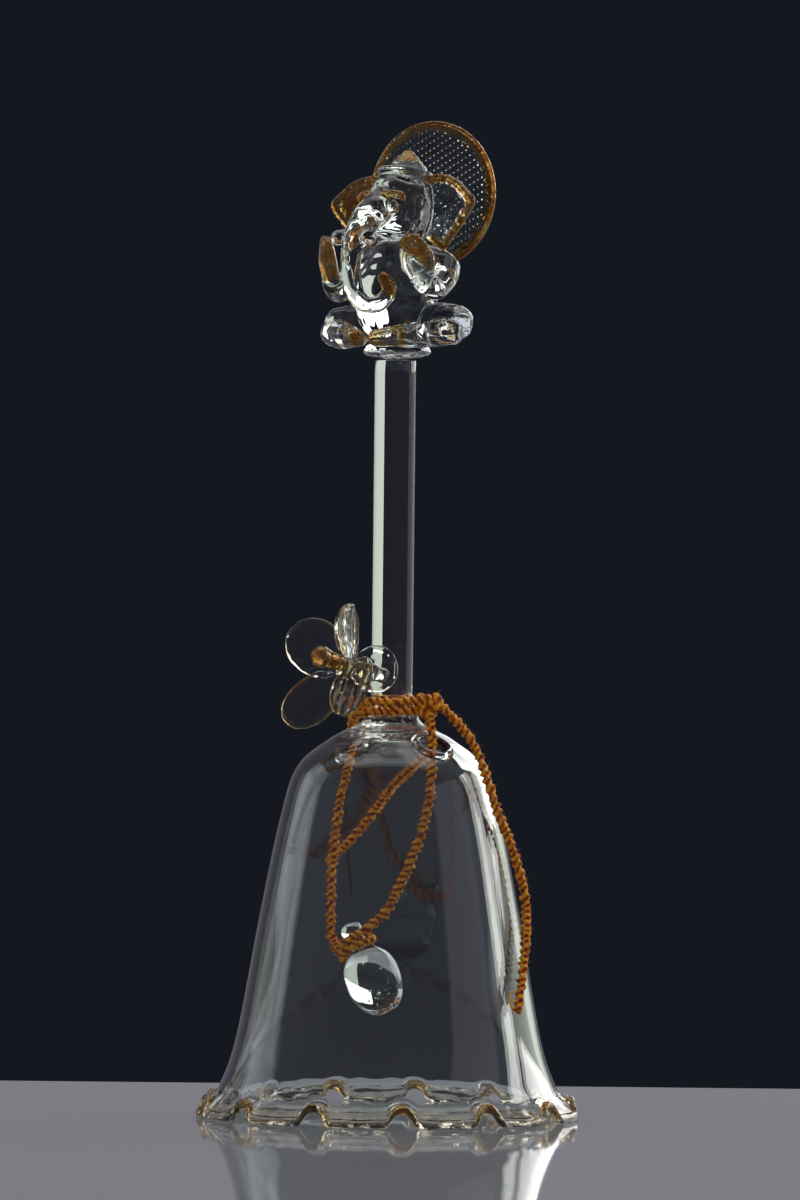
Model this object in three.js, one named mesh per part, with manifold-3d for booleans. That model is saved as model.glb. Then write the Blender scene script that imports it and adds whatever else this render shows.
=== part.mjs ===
// A lampworked glass hand bell: a blown bell with a frilled lip, a rod handle that carries a seated
// elephant-headed figure with a halo, a flower at the foot of the rod, and a glass drop that hangs
// inside on a twisted cord as the clapper.
// Millimetres, +Z up. The origin is on the table under the middle of the mouth, and -Y is the front.

import * as THREE from "three";
import { mergeVertices } from "three/addons/utils/BufferGeometryUtils.js";
import Module from "manifold-3d";

const wasm = await Module();
wasm.setup();

// The seam between two pieces of glass that were fused, and the turn of a degree.
const SEAM = 0.3;
const DEGREE = Math.PI / 180;

// Bell shell: radii and heights of the outer face, from the crown down to the lip.
const CROWN_HEIGHT = 66.4;
const CROWN_FLAT_RADIUS = 6.6;
const CROWN_WALL = 2.2;
const CROWN_SLOPE_RADIUS = 10.6;
const CROWN_SLOPE_DROP = 2.1;
const SHOULDER_RADIUS = 16.0;
const SHOULDER_DROP = 6.8;
const BODY_RADIUS = 18.8;
const BODY_DROP = 15.5;
const WAIST_RADIUS = 22.1;
const WAIST_HEIGHT = 34.5;
const FLARE_RADIUS = 26.0;
const FLARE_HEIGHT = 13.2;
const LIP_ROOT_RADIUS = 28.9;
const LIP_ROOT_HEIGHT = 4.8;
const WALL = 1.25;
const FACE_STEPS = 10;

// Frilled lip: a bead that lies on the table in the hollows and rises in thirteen pinched lobes.
const LOBES = 13;
const LOBE_TURN = 4.5;
const LOBE_LIFT = 2.8;
const LOBE_SHARPNESS = 5;
const LOBE_SWELL = 0.15;
const LOBE_SEGMENTS = 8;
const LIP_REACH = 3.2;
const MOUTH_RADIUS = LIP_ROOT_RADIUS + LIP_REACH;
const BEAD_RADIUS = 0.8;
const FOOT_DEPTH = 0.3;
// The turn of the lip halfway out: its share of the reach, of the fall, of the lift and of the wall.
const LIP_TURN = { reach: 0.5, fall: 0.4, lift: 0.6, wall: 0.7 };

// Cord holes: two, opposite each other on the shoulder, the right one towards the front.
const HOLE_DIAMETER = 6.0;
const HOLE_FROM_AXIS = 11.7;
const HOLE_TURN = 37.5;
const BORE_LENGTH = 10;
const BORE_SIDES = 24;

// Handle rod and the collar of glass that joins it to the crown.
const COLLAR_BASE_RADIUS = 6.2;
const COLLAR_RADIUS = 4.5;
const COLLAR_HEIGHT = 5.2;
const ROD_RADIUS = 3.5;
const ROD_LENGTH = 56.8;

// Seated figure, turned towards the viewer's left. Its stations are [across, back, up, half width,
// half depth] in its own frame: across is towards its left hand and up is above the rod.
const FIGURE_TURN = -38;
const SEAT = [[0.2, 0.2, 1.0, 5.9], [0.2, 0.2, 2.0, 5.4]];
const TORSO = [
  [0, 0.8, 4.0, 5.0, 4.8],
  [0, -0.2, 7.6, 6.6, 6.2],
  [0, -0.6, 11.5, 6.9, 6.5],
  [0, 0.2, 16.0, 5.8, 5.0],
  [0, 0.6, 18.8, 4.4, 4.0],
];
const HEAD = [[0, -0.6, 20.8, 4.9, 4.9], [0, 0.6, 25.4, 5.9, 6.0], [0, 2.2, 29.4, 5.1, 5.1]];
const TRUNK = [
  [0, -2.5, 27.0, 2.7],
  [0, -6.9, 24.6, 2.7],
  [0, -10.6, 21.0, 2.3],
  [0, -12.4, 16.8, 1.9],
  [0.1, -12.4, 12.8, 1.7],
  [1.4, -12.0, 9.6, 1.6],
  [3.8, -11.5, 8.6, 1.5],
  [6.2, -11.0, 9.6, 1.4],
  [7.0, -10.8, 11.4, 1.3],
  [5.8, -10.8, 13.2, 1.1],
];
const THIGH = [[4.0, 1.6, 5.8, 2.9], [8.4, 1.2, 6.3, 3.2], [13.0, 0.6, 6.0, 2.9]];
const SHIN = [[13.0, -0.6, 4.6, 2.4], [9.0, -3.4, 3.9, 2.3], [5.2, -6.0, 3.6, 2.0]];
const FOOT = [[5.4, -6.8, 3.6, 1.8, 2.4], [1.9, -8.0, 3.2, 1.5, 1.9]];
const ARM = [
  [4.4, 0.8, 17.8, 2.0],
  [9.6, 1.8, 15.6, 2.1],
  [10.4, -2.2, 11.8, 2.1],
  [9.8, -5.2, 12.9, 1.9],
];
const HAND = [[9.8, -5.4, 13.1, 2.0, 1.5], [9.6, -6.7, 16.4, 3.1, 1.4], [9.0, -8.0, 19.8, 1.8, 1.0]];
const PALM_SIDE = [0.79, 0.61, 0];
const EAR = [
  [4.6, 2.4, 25.6, 5.0, 0.6],
  [7.4, 2.4, 25.2, 6.0, 0.6],
  [10.8, 2.0, 25.6, 4.8, 0.6],
  [14.4, 1.5, 26.3, 1.6, 0.55],
];
const TUSK = [[1.8, -10.2, 20.9, 1.0], [3.4, -12.0, 20.1, 1.4]];
const EYE_RADIUS = 1.2;
const EYE_TURN = 28;
const EYE_PLACE = 0.5;
const BROW_RADIUS = 0.6;
const BROW_TURNS = [14, 28, 42];
const BROW_PLACE = 0.74;
const CROWN_BRIM = [[0, 2.4, 31.1, 5.1], [0, 2.6, 31.7, 5.0]];
const CROWN_CONE = [[0, 2.7, 32.2, 3.7], [0, 2.8, 34.0, 2.2], [0, 2.9, 35.3, 0.9]];

// Halo: a pressed disc in an amber rim behind the head, on a thin strut from the seat.
const HALO_RADIUS = 12.6;
const HALO_RIM_RADIUS = 0.6;
const HALO_THICKNESS = 1.0;
const HALO_TURN = 6;
const HALO_CENTRE = [1.0, 8.6, 28.4];
const HALO_STRUT_RADIUS = 0.65;
const HALO_STRUT_TOP = HALO_CENTRE[2] - HALO_RADIUS - HALO_STRUT_RADIUS;
const HALO_STRUT = [
  [HALO_CENTRE[0], HALO_CENTRE[1] - 0.1, HALO_STRUT_TOP, HALO_STRUT_RADIUS],
  [1.6, 8.2, 9.0, HALO_STRUT_RADIUS],
  [1.2, 5.4, 2.2, HALO_STRUT_RADIUS],
];

// Flower at the foot of the rod. A petal is its base, its tip, the direction of its half width, that
// half width and how far its middle hollows back; heights are above the crown.
const FLOWER_STEM = [[-1.4, -1.2, 8.9, 1.3], [-6.6, -4.2, 9.9, 1.5]];
const FLOWER_HUB = [[-7.5, -4.5, 9.9, 2.0], [-8.2, -5.2, 10.1, 1.9]];
const STAMEN = [[-9.0, -6.0, 10.8, 1.3], [-11.0, -7.4, 11.6, 1.6], [-12.2, -8.2, 12.0, 1.9]];
const PETAL_THICKNESS = 1.1;
const PETAL_WIDEST = 0.54;
const PETALS = [
  {
    name: "flower_petal_left",
    base: [-8.6, -4.8, 9.7],
    tip: [-17.1, -3.4, 16.9],
    side: [0.66, 0, 0.75],
    width: 4.8,
    cup: -0.5,
  },
  {
    name: "flower_petal_top",
    base: [-7.2, -4.2, 11.0],
    tip: [-7.4, -3.0, 21.0],
    side: [0.44, 0.9, 0],
    width: 4.2,
    cup: 0.6,
  },
  {
    name: "flower_petal_right",
    base: [-6.8, -5.0, 10.0],
    tip: [1.0, -5.8, 9.7],
    side: [0, 0.1, 1],
    width: 4.1,
    cup: 0.4,
  },
  {
    name: "flower_petal_front",
    base: [-5.2, -6.1, 11.4],
    tip: [-9.2, -9.2, 1.6],
    side: [0.75, -0.55, 0.1],
    width: 3.9,
    cup: 0.5,
  },
  {
    name: "flower_petal_low",
    base: [-9.2, -5.0, 8.7],
    tip: [-18.0, -5.6, 0.6],
    side: [0.66, -0.3, -0.75],
    width: 4.0,
    cup: -0.5,
  },
];

// Clapper drop: radius against distance from its lower end, and where its two ends hang.
const DROP_PROFILE = [
  [0, 0],
  [2.1, 0.45],
  [3.8, 2.1],
  [4.7, 4.7],
  [4.75, 7.3],
  [4.1, 9.6],
  [2.6, 11.4],
  [1.75, 13.0],
  [1.6, 14.2],
  [1.95, 15.3],
  [1.5, 16.3],
  [0, 16.8],
];
const DROP_LOW_END = [-0.2, 1.1, 17.6];
const DROP_HIGH_END = [-7.0, 4.1, 32.4];

// Cord: its thickness, the winding round the neck and the winding round the neck of the drop.
const CORD_DIAMETER = 2.0;
const CORD_SIDES = 8;
const CORD_STEP = 4.4;
const LOOP_STEPS = 24;
const LOOP_SIDES = 6;
const NECK_TURNS = 31 / 24;
const NECK_LIFT = 1.8;
const NECK_CLIMB = 2.35;
const NECK_SPREAD = 0.9;
const DROP_TURNS = 1.25;
const DROP_TIE_START = 11.4;
const DROP_TIE_CLIMB = 2.4;

// The cord's free stretches, as points chosen along it.
const LEFT_BRIDGE = [
  [-6.88, 8.96, 63.4],
  [-6.95, 8.5, 65.4],
  [-6.6, 6.5, 67.3],
  [-6.2, 4.3, 68.0],
  [-6.05, 2.35, 68.05],
];
const RIGHT_BRIDGE = [[6.4, -6.9, 68.0], [6.6, -7.9, 66.6], [6.82, -8.7, 65.2], [6.88, -8.96, 63.4]];
const TAIL = [
  [8.3, -5.8, 70.1],
  [9.7, -5.4, 68.9],
  [11.6, -5.4, 66.9],
  [13.2, -5.9, 64.8],
  [14.9, -7.0, 61.6],
  [16.4, -8.4, 57.4],
  [17.9, -8.2, 53.0],
  [20.0, -5.9, 48.0],
  [21.7, -3.9, 43.2],
  [22.8, -3.4, 38.8],
  [23.2, -5.2, 34.0],
  [22.9, -9.0, 29.0],
  [22.4, -12.2, 24.0],
  [21.7, -15.2, 18.9],
];
const LEFT_STRAND = [
  [-6.88, 8.96, 62.5],
  [-7.9, 9.4, 58.5],
  [-9.0, 9.7, 53.0],
  [-9.8, 9.5, 46.0],
  [-10.2, 8.9, 39.5],
  [-10.2, 8.7, 33.0],
  [-9.6, 8.5, 28.2],
  [-8.98, 7.0, 24.8],
  [-8.73, 5.05, 25.37],
];
const RIGHT_STRAND = [
  [6.88, -8.96, 62.5],
  [6.8, -8.7, 58.5],
  [6.2, -7.6, 53.0],
  [4.6, -5.2, 46.5],
  [2.4, -2.4, 40.8],
  [-0.2, 0.0, 35.4],
  [-2.1, 0.55, 33.5],
  [-4.12, 0.65, 32.35],
];
const INNER_END = [
  [6.1, -7.3, 61.7],
  [4.0, -2.4, 60.2],
  [0.4, 8.0, 56.2],
  [-3.0, 14.6, 51.3],
  [-7.0, 15.5, 46.6],
  [-11.1, 13.8, 42.9],
];
const KNOT = [[5.9, -6.1, 70.6, 1.4], [6.5, -5.9, 69.9, 1.5]];

// Finishes.
const CLEAR = { color: 0xe8eef0, roughness: 0.04, metalness: 0, transparent: true, opacity: 0.4 };
const AMBER = { color: 0xa8661e, roughness: 0.08, metalness: 0, transparent: true, opacity: 0.7 };
const YARN = { color: 0xa8620f, roughness: 0.85, metalness: 0 };

const vector = ([x, y, z]) => new THREE.Vector3(x, y, z);
const CORD_RADIUS = CORD_DIAMETER / 2;

// A closed skin over rings of points, each ring laid round the way to the next; a ring of one point
// closes an end.
function skin(rings) {
  const starts = [];
  const points = [];
  for (const ring of rings) {
    starts.push(points.length);
    points.push(...ring);
  }
  const faces = [];
  for (let i = 0; i + 1 < rings.length; i += 1) {
    const near = rings[i].length;
    const far = rings[i + 1].length;
    const around = Math.max(near, far);
    for (let j = 0; j < around; j += 1) {
      const next = (j + 1) % around;
      const a = starts[i] + (j % near);
      const b = starts[i] + (next % near);
      const c = starts[i + 1] + (next % far);
      const d = starts[i + 1] + (j % far);
      if (near > 1) faces.push(a, b, c);
      if (far > 1) faces.push(a, c, d);
    }
  }
  const geometry = new THREE.BufferGeometry().setFromPoints(points);
  geometry.setIndex(faces);
  geometry.computeVertexNormals();
  return geometry;
}

// A ring of points on an oval, from its side towards its other half axis.
function oval(centre, side, other, halfSide, halfOther, sides) {
  return Array.from({ length: sides }, (_, j) => {
    const turn = (2 * Math.PI * j) / sides;
    return centre
      .clone()
      .addScaledVector(side, halfSide * Math.cos(turn))
      .addScaledVector(other, halfOther * Math.sin(turn));
  });
}

// The section of a gather at a share u of the way along its stations: its centre, its way on, its
// two half axes and their lengths.
function sectionAt(stations, side, u) {
  const line = new THREE.CatmullRomCurve3(stations.map(vector), false, "centripetal");
  const last = stations.length - 1;
  const i = Math.min(Math.floor(u * last), last - 1);
  const part = u * last - i;
  const size = (k) => {
    const here = stations[i][k] ?? stations[i][3];
    const there = stations[i + 1][k] ?? stations[i + 1][3];
    return here + (there - here) * part;
  };
  const along = line.getTangent(u);
  const flat = vector(side).addScaledVector(along, -vector(side).dot(along)).normalize();
  const rise = along.clone().cross(flat);
  return { centre: line.getPoint(u), along, flat, rise, halfFlat: size(3), halfRise: size(4) };
}

// A gather of glass drawn along its stations, with a rounded cap at each end. Growing it adds the
// same depth all over, for cutting the seam in what is laid on it.
function gather(stations, { side = [1, 0, 0], cap, steps = 6, sides = 8 }, grow = 0) {
  const ringAt = (u, share, reach) => {
    const { centre, along, flat, rise, halfFlat, halfRise } = sectionAt(stations, side, u);
    centre.addScaledVector(along, reach * (cap + grow));
    if (share === 0) return [centre];
    return oval(centre, flat, rise, (halfFlat + grow) * share, (halfRise + grow) * share, sides);
  };
  const capTurns = [60, 30].map((turn) => turn * DEGREE);
  const rings = [ringAt(0, 0, -1)];
  for (const turn of capTurns) rings.push(ringAt(0, Math.cos(turn), -Math.sin(turn)));
  for (let i = 0; i <= steps; i += 1) rings.push(ringAt(i / steps, 1, 0));
  for (const turn of capTurns.toReversed()) rings.push(ringAt(1, Math.cos(turn), Math.sin(turn)));
  rings.push(ringAt(1, 0, 1));
  return skin(rings);
}

// A closed geometry as a solid that can be joined and cut, and the way back.
function solid(geometry) {
  const bare = geometry.clone();
  bare.deleteAttribute("normal");
  bare.deleteAttribute("uv");
  const merged = mergeVertices(bare);
  const vertProperties = merged.getAttribute("position").array;
  const triVerts = new Uint32Array(merged.getIndex().array);
  return new wasm.Manifold(new wasm.Mesh({ numProp: 3, vertProperties, triVerts }));
}

function geometryOf(made) {
  const mesh = made.getMesh();
  const geometry = new THREE.BufferGeometry();
  geometry.setAttribute("position", new THREE.BufferAttribute(Float32Array.from(mesh.vertProperties), 3));
  geometry.setIndex(Array.from(mesh.triVerts));
  geometry.computeVertexNormals();
  return geometry;
}

function piece(name, geometry, finish) {
  const mesh = new THREE.Mesh(geometry, new THREE.MeshStandardMaterial(finish));
  mesh.name = name;
  return mesh;
}

// Pieces fused one after another: each keeps its shape where it is free, and a seam to those before.
function fused(pieces) {
  return pieces.map(({ name, finish, shape }, i) => {
    let made = shape(0);
    for (const earlier of pieces.slice(0, i)) made = made.subtract(earlier.shape(SEAM));
    return piece(name, geometryOf(made), finish);
  });
}

// Bell shell. The outer face is a smooth line through its radii and heights; a point on it and its
// outward slope also place the cord holes.
const outerFace = new THREE.SplineCurve([
  new THREE.Vector2(CROWN_FLAT_RADIUS, CROWN_HEIGHT),
  new THREE.Vector2(CROWN_SLOPE_RADIUS, CROWN_HEIGHT - CROWN_SLOPE_DROP),
  new THREE.Vector2(SHOULDER_RADIUS, CROWN_HEIGHT - SHOULDER_DROP),
  new THREE.Vector2(BODY_RADIUS, CROWN_HEIGHT - BODY_DROP),
  new THREE.Vector2(WAIST_RADIUS, WAIST_HEIGHT),
  new THREE.Vector2(FLARE_RADIUS, FLARE_HEIGHT),
  new THREE.Vector2(LIP_ROOT_RADIUS, LIP_ROOT_HEIGHT),
]);

function faceNormal(u) {
  const along = outerFace.getTangent(u);
  return new THREE.Vector2(-along.y, along.x).normalize();
}

// The lip bead's middle in a hollow, low enough for the foot to be ground flat at the table.
const beadHeight = BEAD_RADIUS - FOOT_DEPTH;

// A station of the section is its radius, its height and the share of the lobes' lift that it takes.
function shellSection() {
  const outer = [];
  const inner = [];
  for (let i = 0; i <= FACE_STEPS; i += 1) {
    const u = i / FACE_STEPS;
    const point = outerFace.getPoint(u);
    const normal = faceNormal(u);
    const wall = i === 0 ? CROWN_WALL : WALL;
    outer.push([point.x, point.y, 0]);
    inner.push([point.x - wall * normal.x, point.y - wall * normal.y, 0]);
  }
  const turnRadius = LIP_ROOT_RADIUS + LIP_TURN.reach * LIP_REACH;
  const turnHeight = beadHeight + LIP_TURN.fall * (LIP_ROOT_HEIGHT - beadHeight);
  const turnWall = LIP_TURN.wall * WALL;
  outer.push([turnRadius, turnHeight, LIP_TURN.lift]);
  inner.push([turnRadius - turnWall, turnHeight - turnWall, LIP_TURN.lift]);
  const bead = [120, 60, 0, -60, -120].map((turn) => [
    MOUTH_RADIUS + BEAD_RADIUS * Math.cos(turn * DEGREE),
    beadHeight + BEAD_RADIUS * Math.sin(turn * DEGREE),
    1,
  ]);
  return [...inner, ...bead.toReversed(), ...outer.toReversed()];
}

// The lift of the lobes at a turn: a narrow pinch on a slow swell.
function lobeShare(turn) {
  const wave = 0.5 + 0.5 * Math.cos(LOBES * (turn - LOBE_TURN * DEGREE));
  return LOBE_SWELL * wave + (1 - LOBE_SWELL) * wave ** LOBE_SHARPNESS;
}

// A point at a turn from the front towards the right, as seen from above.
function around(radius, turn, height) {
  return new THREE.Vector3(radius * Math.sin(turn), -radius * Math.cos(turn), height);
}

function shellBody() {
  const segments = LOBES * LOBE_SEGMENTS;
  const rings = shellSection().map(([radius, height, share]) =>
    Array.from({ length: segments }, (_, j) => {
      const turn = (2 * Math.PI * j) / segments + LOBE_TURN * DEGREE;
      return around(radius, turn, height + share * LOBE_LIFT * lobeShare(turn));
    }),
  );
  const top = [new THREE.Vector3(0, 0, CROWN_HEIGHT)];
  const under = [new THREE.Vector3(0, 0, CROWN_HEIGHT - CROWN_WALL)];
  return solid(skin([under, ...rings, top]));
}

// Where the outer face has a given radius.
function facePlace(radius) {
  let low = 0;
  let high = 1;
  while (high - low > 1e-6) {
    const u = (low + high) / 2;
    if (outerFace.getPoint(u).x < radius) low = u;
    else high = u;
  }
  return low;
}

const holePlace = facePlace(HOLE_FROM_AXIS);
const holePoint = outerFace.getPoint(holePlace);
const holeNormal = faceNormal(holePlace);

// A cord hole bored square to the wall, at a turn from the front.
function holeBore(turn) {
  const bore = new THREE.CylinderGeometry(HOLE_DIAMETER / 2, HOLE_DIAMETER / 2, BORE_LENGTH, BORE_SIDES);
  const way = around(holeNormal.x, turn, holeNormal.y);
  bore.applyQuaternion(new THREE.Quaternion().setFromUnitVectors(new THREE.Vector3(0, 1, 0), way));
  const centre = around(holePoint.x, turn, holePoint.y);
  return solid(bore.translate(centre.x, centre.y, centre.z));
}

function bellShell() {
  const table = new THREE.BoxGeometry(4 * MOUTH_RADIUS, 4 * MOUTH_RADIUS, 4 * BEAD_RADIUS);
  table.translate(0, 0, -2 * BEAD_RADIUS);
  const turn = HOLE_TURN * DEGREE;
  const made = shellBody()
    .subtract(solid(table))
    .subtract(holeBore(turn))
    .subtract(holeBore(turn + Math.PI));
  return piece("bell_shell", geometryOf(made), CLEAR);
}

// Neck collar and handle rod.
const collarFoot = CROWN_HEIGHT + SEAM;
const rodFoot = collarFoot + COLLAR_HEIGHT + SEAM;
const rodTop = rodFoot + ROD_LENGTH;

function neckCollar() {
  const profile = [
    [0, 0],
    [COLLAR_BASE_RADIUS, 0],
    [0.5 * (COLLAR_BASE_RADIUS + COLLAR_RADIUS), 0.12 * COLLAR_HEIGHT],
    [COLLAR_RADIUS, 0.3 * COLLAR_HEIGHT],
    [0.5 * (COLLAR_RADIUS + ROD_RADIUS), 0.75 * COLLAR_HEIGHT],
    [ROD_RADIUS, COLLAR_HEIGHT],
    [0, COLLAR_HEIGHT],
  ].map(([radius, height]) => new THREE.Vector2(radius, height));
  const mesh = piece("neck_collar", new THREE.LatheGeometry(profile, 32), CLEAR);
  mesh.rotation.x = Math.PI / 2;
  mesh.position.z = collarFoot;
  return mesh;
}

function rodBody(grow) {
  const rod = new THREE.CylinderGeometry(ROD_RADIUS + grow, ROD_RADIUS + grow, ROD_LENGTH, 32);
  return rod.rotateX(Math.PI / 2).translate(0, 0, rodFoot + ROD_LENGTH / 2);
}

// Figure.
const mirrored = (stations) => stations.map(([x, ...rest]) => [-x, ...rest]);
const glass = (name, finish, stations, form) => ({
  name,
  finish,
  shape: (grow) => solid(gather(stations, form, grow)),
});

// A point on the head, at a share of the way up it and a turn from its face.
function onHead(place, turn) {
  const { centre, flat, rise, halfFlat, halfRise } = sectionAt(HEAD, [1, 0, 0], place);
  centre.addScaledVector(flat, halfFlat * Math.sin(turn * DEGREE));
  return centre.addScaledVector(rise, -halfRise * Math.cos(turn * DEGREE)).toArray();
}

function leg(name, flip) {
  const shape = (grow) => {
    const thigh = solid(gather(flip(THIGH), { side: [0, 1, 0], cap: 2.2 }, grow));
    const shin = solid(gather(flip(SHIN), { side: [0, 0, 1], cap: 1.6 }, grow));
    return thigh.add(shin);
  };
  return { name, finish: CLEAR, shape };
}

function sideOfFigure(hand, flip) {
  const eye = onHead(EYE_PLACE, EYE_TURN);
  const brow = BROW_TURNS.map((turn) => [...onHead(BROW_PLACE, turn), BROW_RADIUS]);
  const eyeBead = [[...eye, EYE_RADIUS], [eye[0], eye[1] - 0.2, eye[2], EYE_RADIUS]];
  const browForm = { side: [0, 0, 1], cap: BROW_RADIUS, steps: 4, sides: 6 };
  return [
    glass(`figure_${hand}_foot`, AMBER, flip(FOOT), { side: [0, 0, 1], cap: 1.2, steps: 4 }),
    glass(`figure_${hand}_tusk`, CLEAR, flip(TUSK), { side: [0, 0, 1], cap: 1.1, steps: 2 }),
    glass(`figure_${hand}_eye`, CLEAR, flip(eyeBead), { cap: EYE_RADIUS, steps: 1 }),
    glass(`figure_${hand}_brow`, AMBER, flip(brow), browForm),
    glass(`figure_${hand}_ear`, AMBER, flip(EAR), { side: [0, 0, 1], cap: 0.7, sides: 10 }),
    glass(`figure_${hand}_arm`, CLEAR, flip(ARM), { side: [0, 0, 1], cap: 1.4, steps: 8 }),
    glass(`figure_${hand}_hand`, AMBER, flip(HAND), { side: flip([PALM_SIDE])[0], cap: 0.9 }),
  ];
}

// The halo's disc and rim stand square to the back of the head, turned a little to its left.
function placedHalo(geometry) {
  const [x, y, z] = HALO_CENTRE;
  return solid(geometry.rotateZ(HALO_TURN * DEGREE).translate(x, y, z));
}

function haloDisc(grow) {
  const radius = HALO_RADIUS - 2 * HALO_RIM_RADIUS - SEAM + grow;
  return placedHalo(new THREE.CylinderGeometry(radius, radius, HALO_THICKNESS + 2 * grow, 32));
}

function haloRim(grow) {
  const ring = new THREE.TorusGeometry(HALO_RADIUS - HALO_RIM_RADIUS, HALO_RIM_RADIUS + grow, 6, 32);
  return placedHalo(ring.rotateX(Math.PI / 2));
}

function figure() {
  const group = new THREE.Group();
  group.position.z = rodTop + SEAM;
  group.rotation.z = FIGURE_TURN * DEGREE;
  const asBuilt = (stations) => stations;
  group.add(
    ...fused([
      glass("figure_seat", CLEAR, SEAT, { cap: 1.0, steps: 1, sides: 16 }),
      glass("figure_torso", CLEAR, TORSO, { cap: 1.0, sides: 12 }),
      leg("figure_right_leg", mirrored),
      leg("figure_left_leg", asBuilt),
      glass("figure_head", CLEAR, HEAD, { cap: 1.2, sides: 12, steps: 4 }),
      glass("figure_trunk", CLEAR, TRUNK, { cap: 1.2, steps: 14 }),
      ...sideOfFigure("right", mirrored),
      ...sideOfFigure("left", asBuilt),
      glass("crown_brim", CLEAR, CROWN_BRIM, { cap: 0.4, steps: 1, sides: 14 }),
      glass("crown_cone", AMBER, CROWN_CONE, { cap: 0.5, steps: 4, sides: 12 }),
      { name: "halo_disc", finish: CLEAR, shape: haloDisc },
      { name: "halo_rim", finish: AMBER, shape: haloRim },
      glass("halo_strut", CLEAR, HALO_STRUT, { cap: 0.4 }),
    ]),
  );
  return group;
}

// Flower: heights in its tables are above the crown.
const raised = ([x, y, z, ...rest]) => [x, y, z + CROWN_HEIGHT, ...rest];

// A petal is a flat round blade, two half ellipses that meet where it is widest; its middle hollows
// back from the line between its ends.
function petalBody({ base, tip, side, width, cup }, grow) {
  const start = vector(raised(base));
  const way = vector(raised(tip)).sub(start);
  const along = way.clone().normalize();
  const flat = vector(side).addScaledVector(along, -vector(side).dot(along)).normalize();
  const face = along.clone().cross(flat);
  const widest = PETAL_WIDEST;
  const steps = [0.03, 0.12, 0.3, widest, 0.76, 0.9, 0.97];
  const half = (u) => {
    const end = u < widest ? widest : 1 - widest;
    return width * Math.sqrt(1 - ((u - widest) / end) ** 2);
  };
  const centre = (u) => {
    const hollow = cup * Math.sin(Math.PI * u);
    return start.clone().addScaledVector(way, u).addScaledVector(face, hollow);
  };
  const halfThick = PETAL_THICKNESS / 2 + grow;
  const blade = steps.map((u) => oval(centre(u), flat, face, half(u) + grow, halfThick, 10));
  const root = [centre(0).addScaledVector(along, -grow)];
  const end = [centre(1).addScaledVector(along, grow)];
  return solid(skin([root, ...blade, end]));
}

function flower() {
  const rod = { shape: (grow) => solid(rodBody(grow)), name: "handle_rod", finish: CLEAR };
  const petals = PETALS.map((petal) => ({
    name: petal.name,
    finish: CLEAR,
    shape: (grow) => petalBody(petal, grow),
  }));
  return fused([
    rod,
    glass("flower_stem", CLEAR, FLOWER_STEM.map(raised), { side: [0, 0, 1], cap: 0.6, steps: 2 }),
    glass("flower_hub", AMBER, FLOWER_HUB.map(raised), { side: [0, 0, 1], cap: 1.4, steps: 2 }),
    ...petals,
    glass("flower_stamen", AMBER, STAMEN.map(raised), { side: [0, 0, 1], cap: 1.6 }),
  ]);
}

// Clapper drop, turned about the line between its two ends.
const dropLow = vector(DROP_LOW_END);
const dropAxis = vector(DROP_HIGH_END).sub(dropLow).normalize();

function clapperDrop() {
  const profile = DROP_PROFILE.map(([radius, height]) => new THREE.Vector2(radius, height));
  const mesh = piece("clapper_drop", new THREE.LatheGeometry(profile, 20), CLEAR);
  mesh.quaternion.setFromUnitVectors(new THREE.Vector3(0, 1, 0), dropAxis);
  mesh.position.copy(dropLow);
  return mesh;
}

function dropRadius(height) {
  const above = DROP_PROFILE.findIndex(([, up]) => up > height);
  const [low, high] = [DROP_PROFILE[above - 1], DROP_PROFILE[above]];
  return low[0] + ((high[0] - low[0]) * (height - low[1])) / (high[1] - low[1]);
}

// Cord. A plain stretch is a tube along its points.
function cordStretch(name, points) {
  const section = new THREE.Shape().absarc(0, 0, CORD_RADIUS, 0, 2 * Math.PI);
  const line = new THREE.CatmullRomCurve3(points.map(vector), false, "centripetal");
  const steps = Math.max(4, Math.round(line.getLength() / CORD_STEP));
  const tube = new THREE.ExtrudeGeometry(section, {
    steps,
    curveSegments: CORD_SIDES / 2,
    extrudePath: line,
    bevelEnabled: false,
  });
  return piece(name, tube, YARN);
}

// A winding is one unbroken tube along its loops, with a straight lead at each end.
function windingTube(name, points) {
  const rings = points.map((point, i) => {
    const before = points[Math.max(i - 1, 0)];
    const after = points[Math.min(i + 1, points.length - 1)];
    const along = after.clone().sub(before).normalize();
    const side = new THREE.Vector3(0, 0, 1).addScaledVector(along, -along.z).normalize();
    return oval(point, side, along.clone().cross(side), CORD_RADIUS, CORD_RADIUS, LOOP_SIDES);
  });
  return piece(name, skin([[points[0]], ...rings, [points.at(-1)]]), YARN);
}

function withLeads(loops) {
  const first = loops[0].clone().sub(loops[1]).setLength(CORD_DIAMETER).add(loops[0]);
  const last = loops.at(-1).clone().sub(loops.at(-2)).setLength(CORD_DIAMETER).add(loops.at(-1));
  return [first, ...loops, last];
}

// The least gap of a winding to itself, over points at least half a turn apart.
function leastGap(points) {
  let least = Infinity;
  for (let i = 0; i < points.length; i += 1) {
    for (let j = i + LOOP_STEPS / 2; j < points.length; j += 1) {
      least = Math.min(least, points[i].distanceTo(points[j]) - CORD_DIAMETER);
    }
  }
  return least;
}

function neckLoops() {
  const count = Math.round(NECK_TURNS * LOOP_STEPS);
  return Array.from({ length: count + 1 }, (_, i) => {
    const turns = i / LOOP_STEPS;
    const radius = COLLAR_RADIUS + SEAM + CORD_RADIUS + NECK_SPREAD * turns;
    const turn = -Math.PI / 2 + 2 * Math.PI * turns;
    return around(radius, turn, CROWN_HEIGHT + NECK_LIFT + NECK_CLIMB * turns);
  });
}

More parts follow.
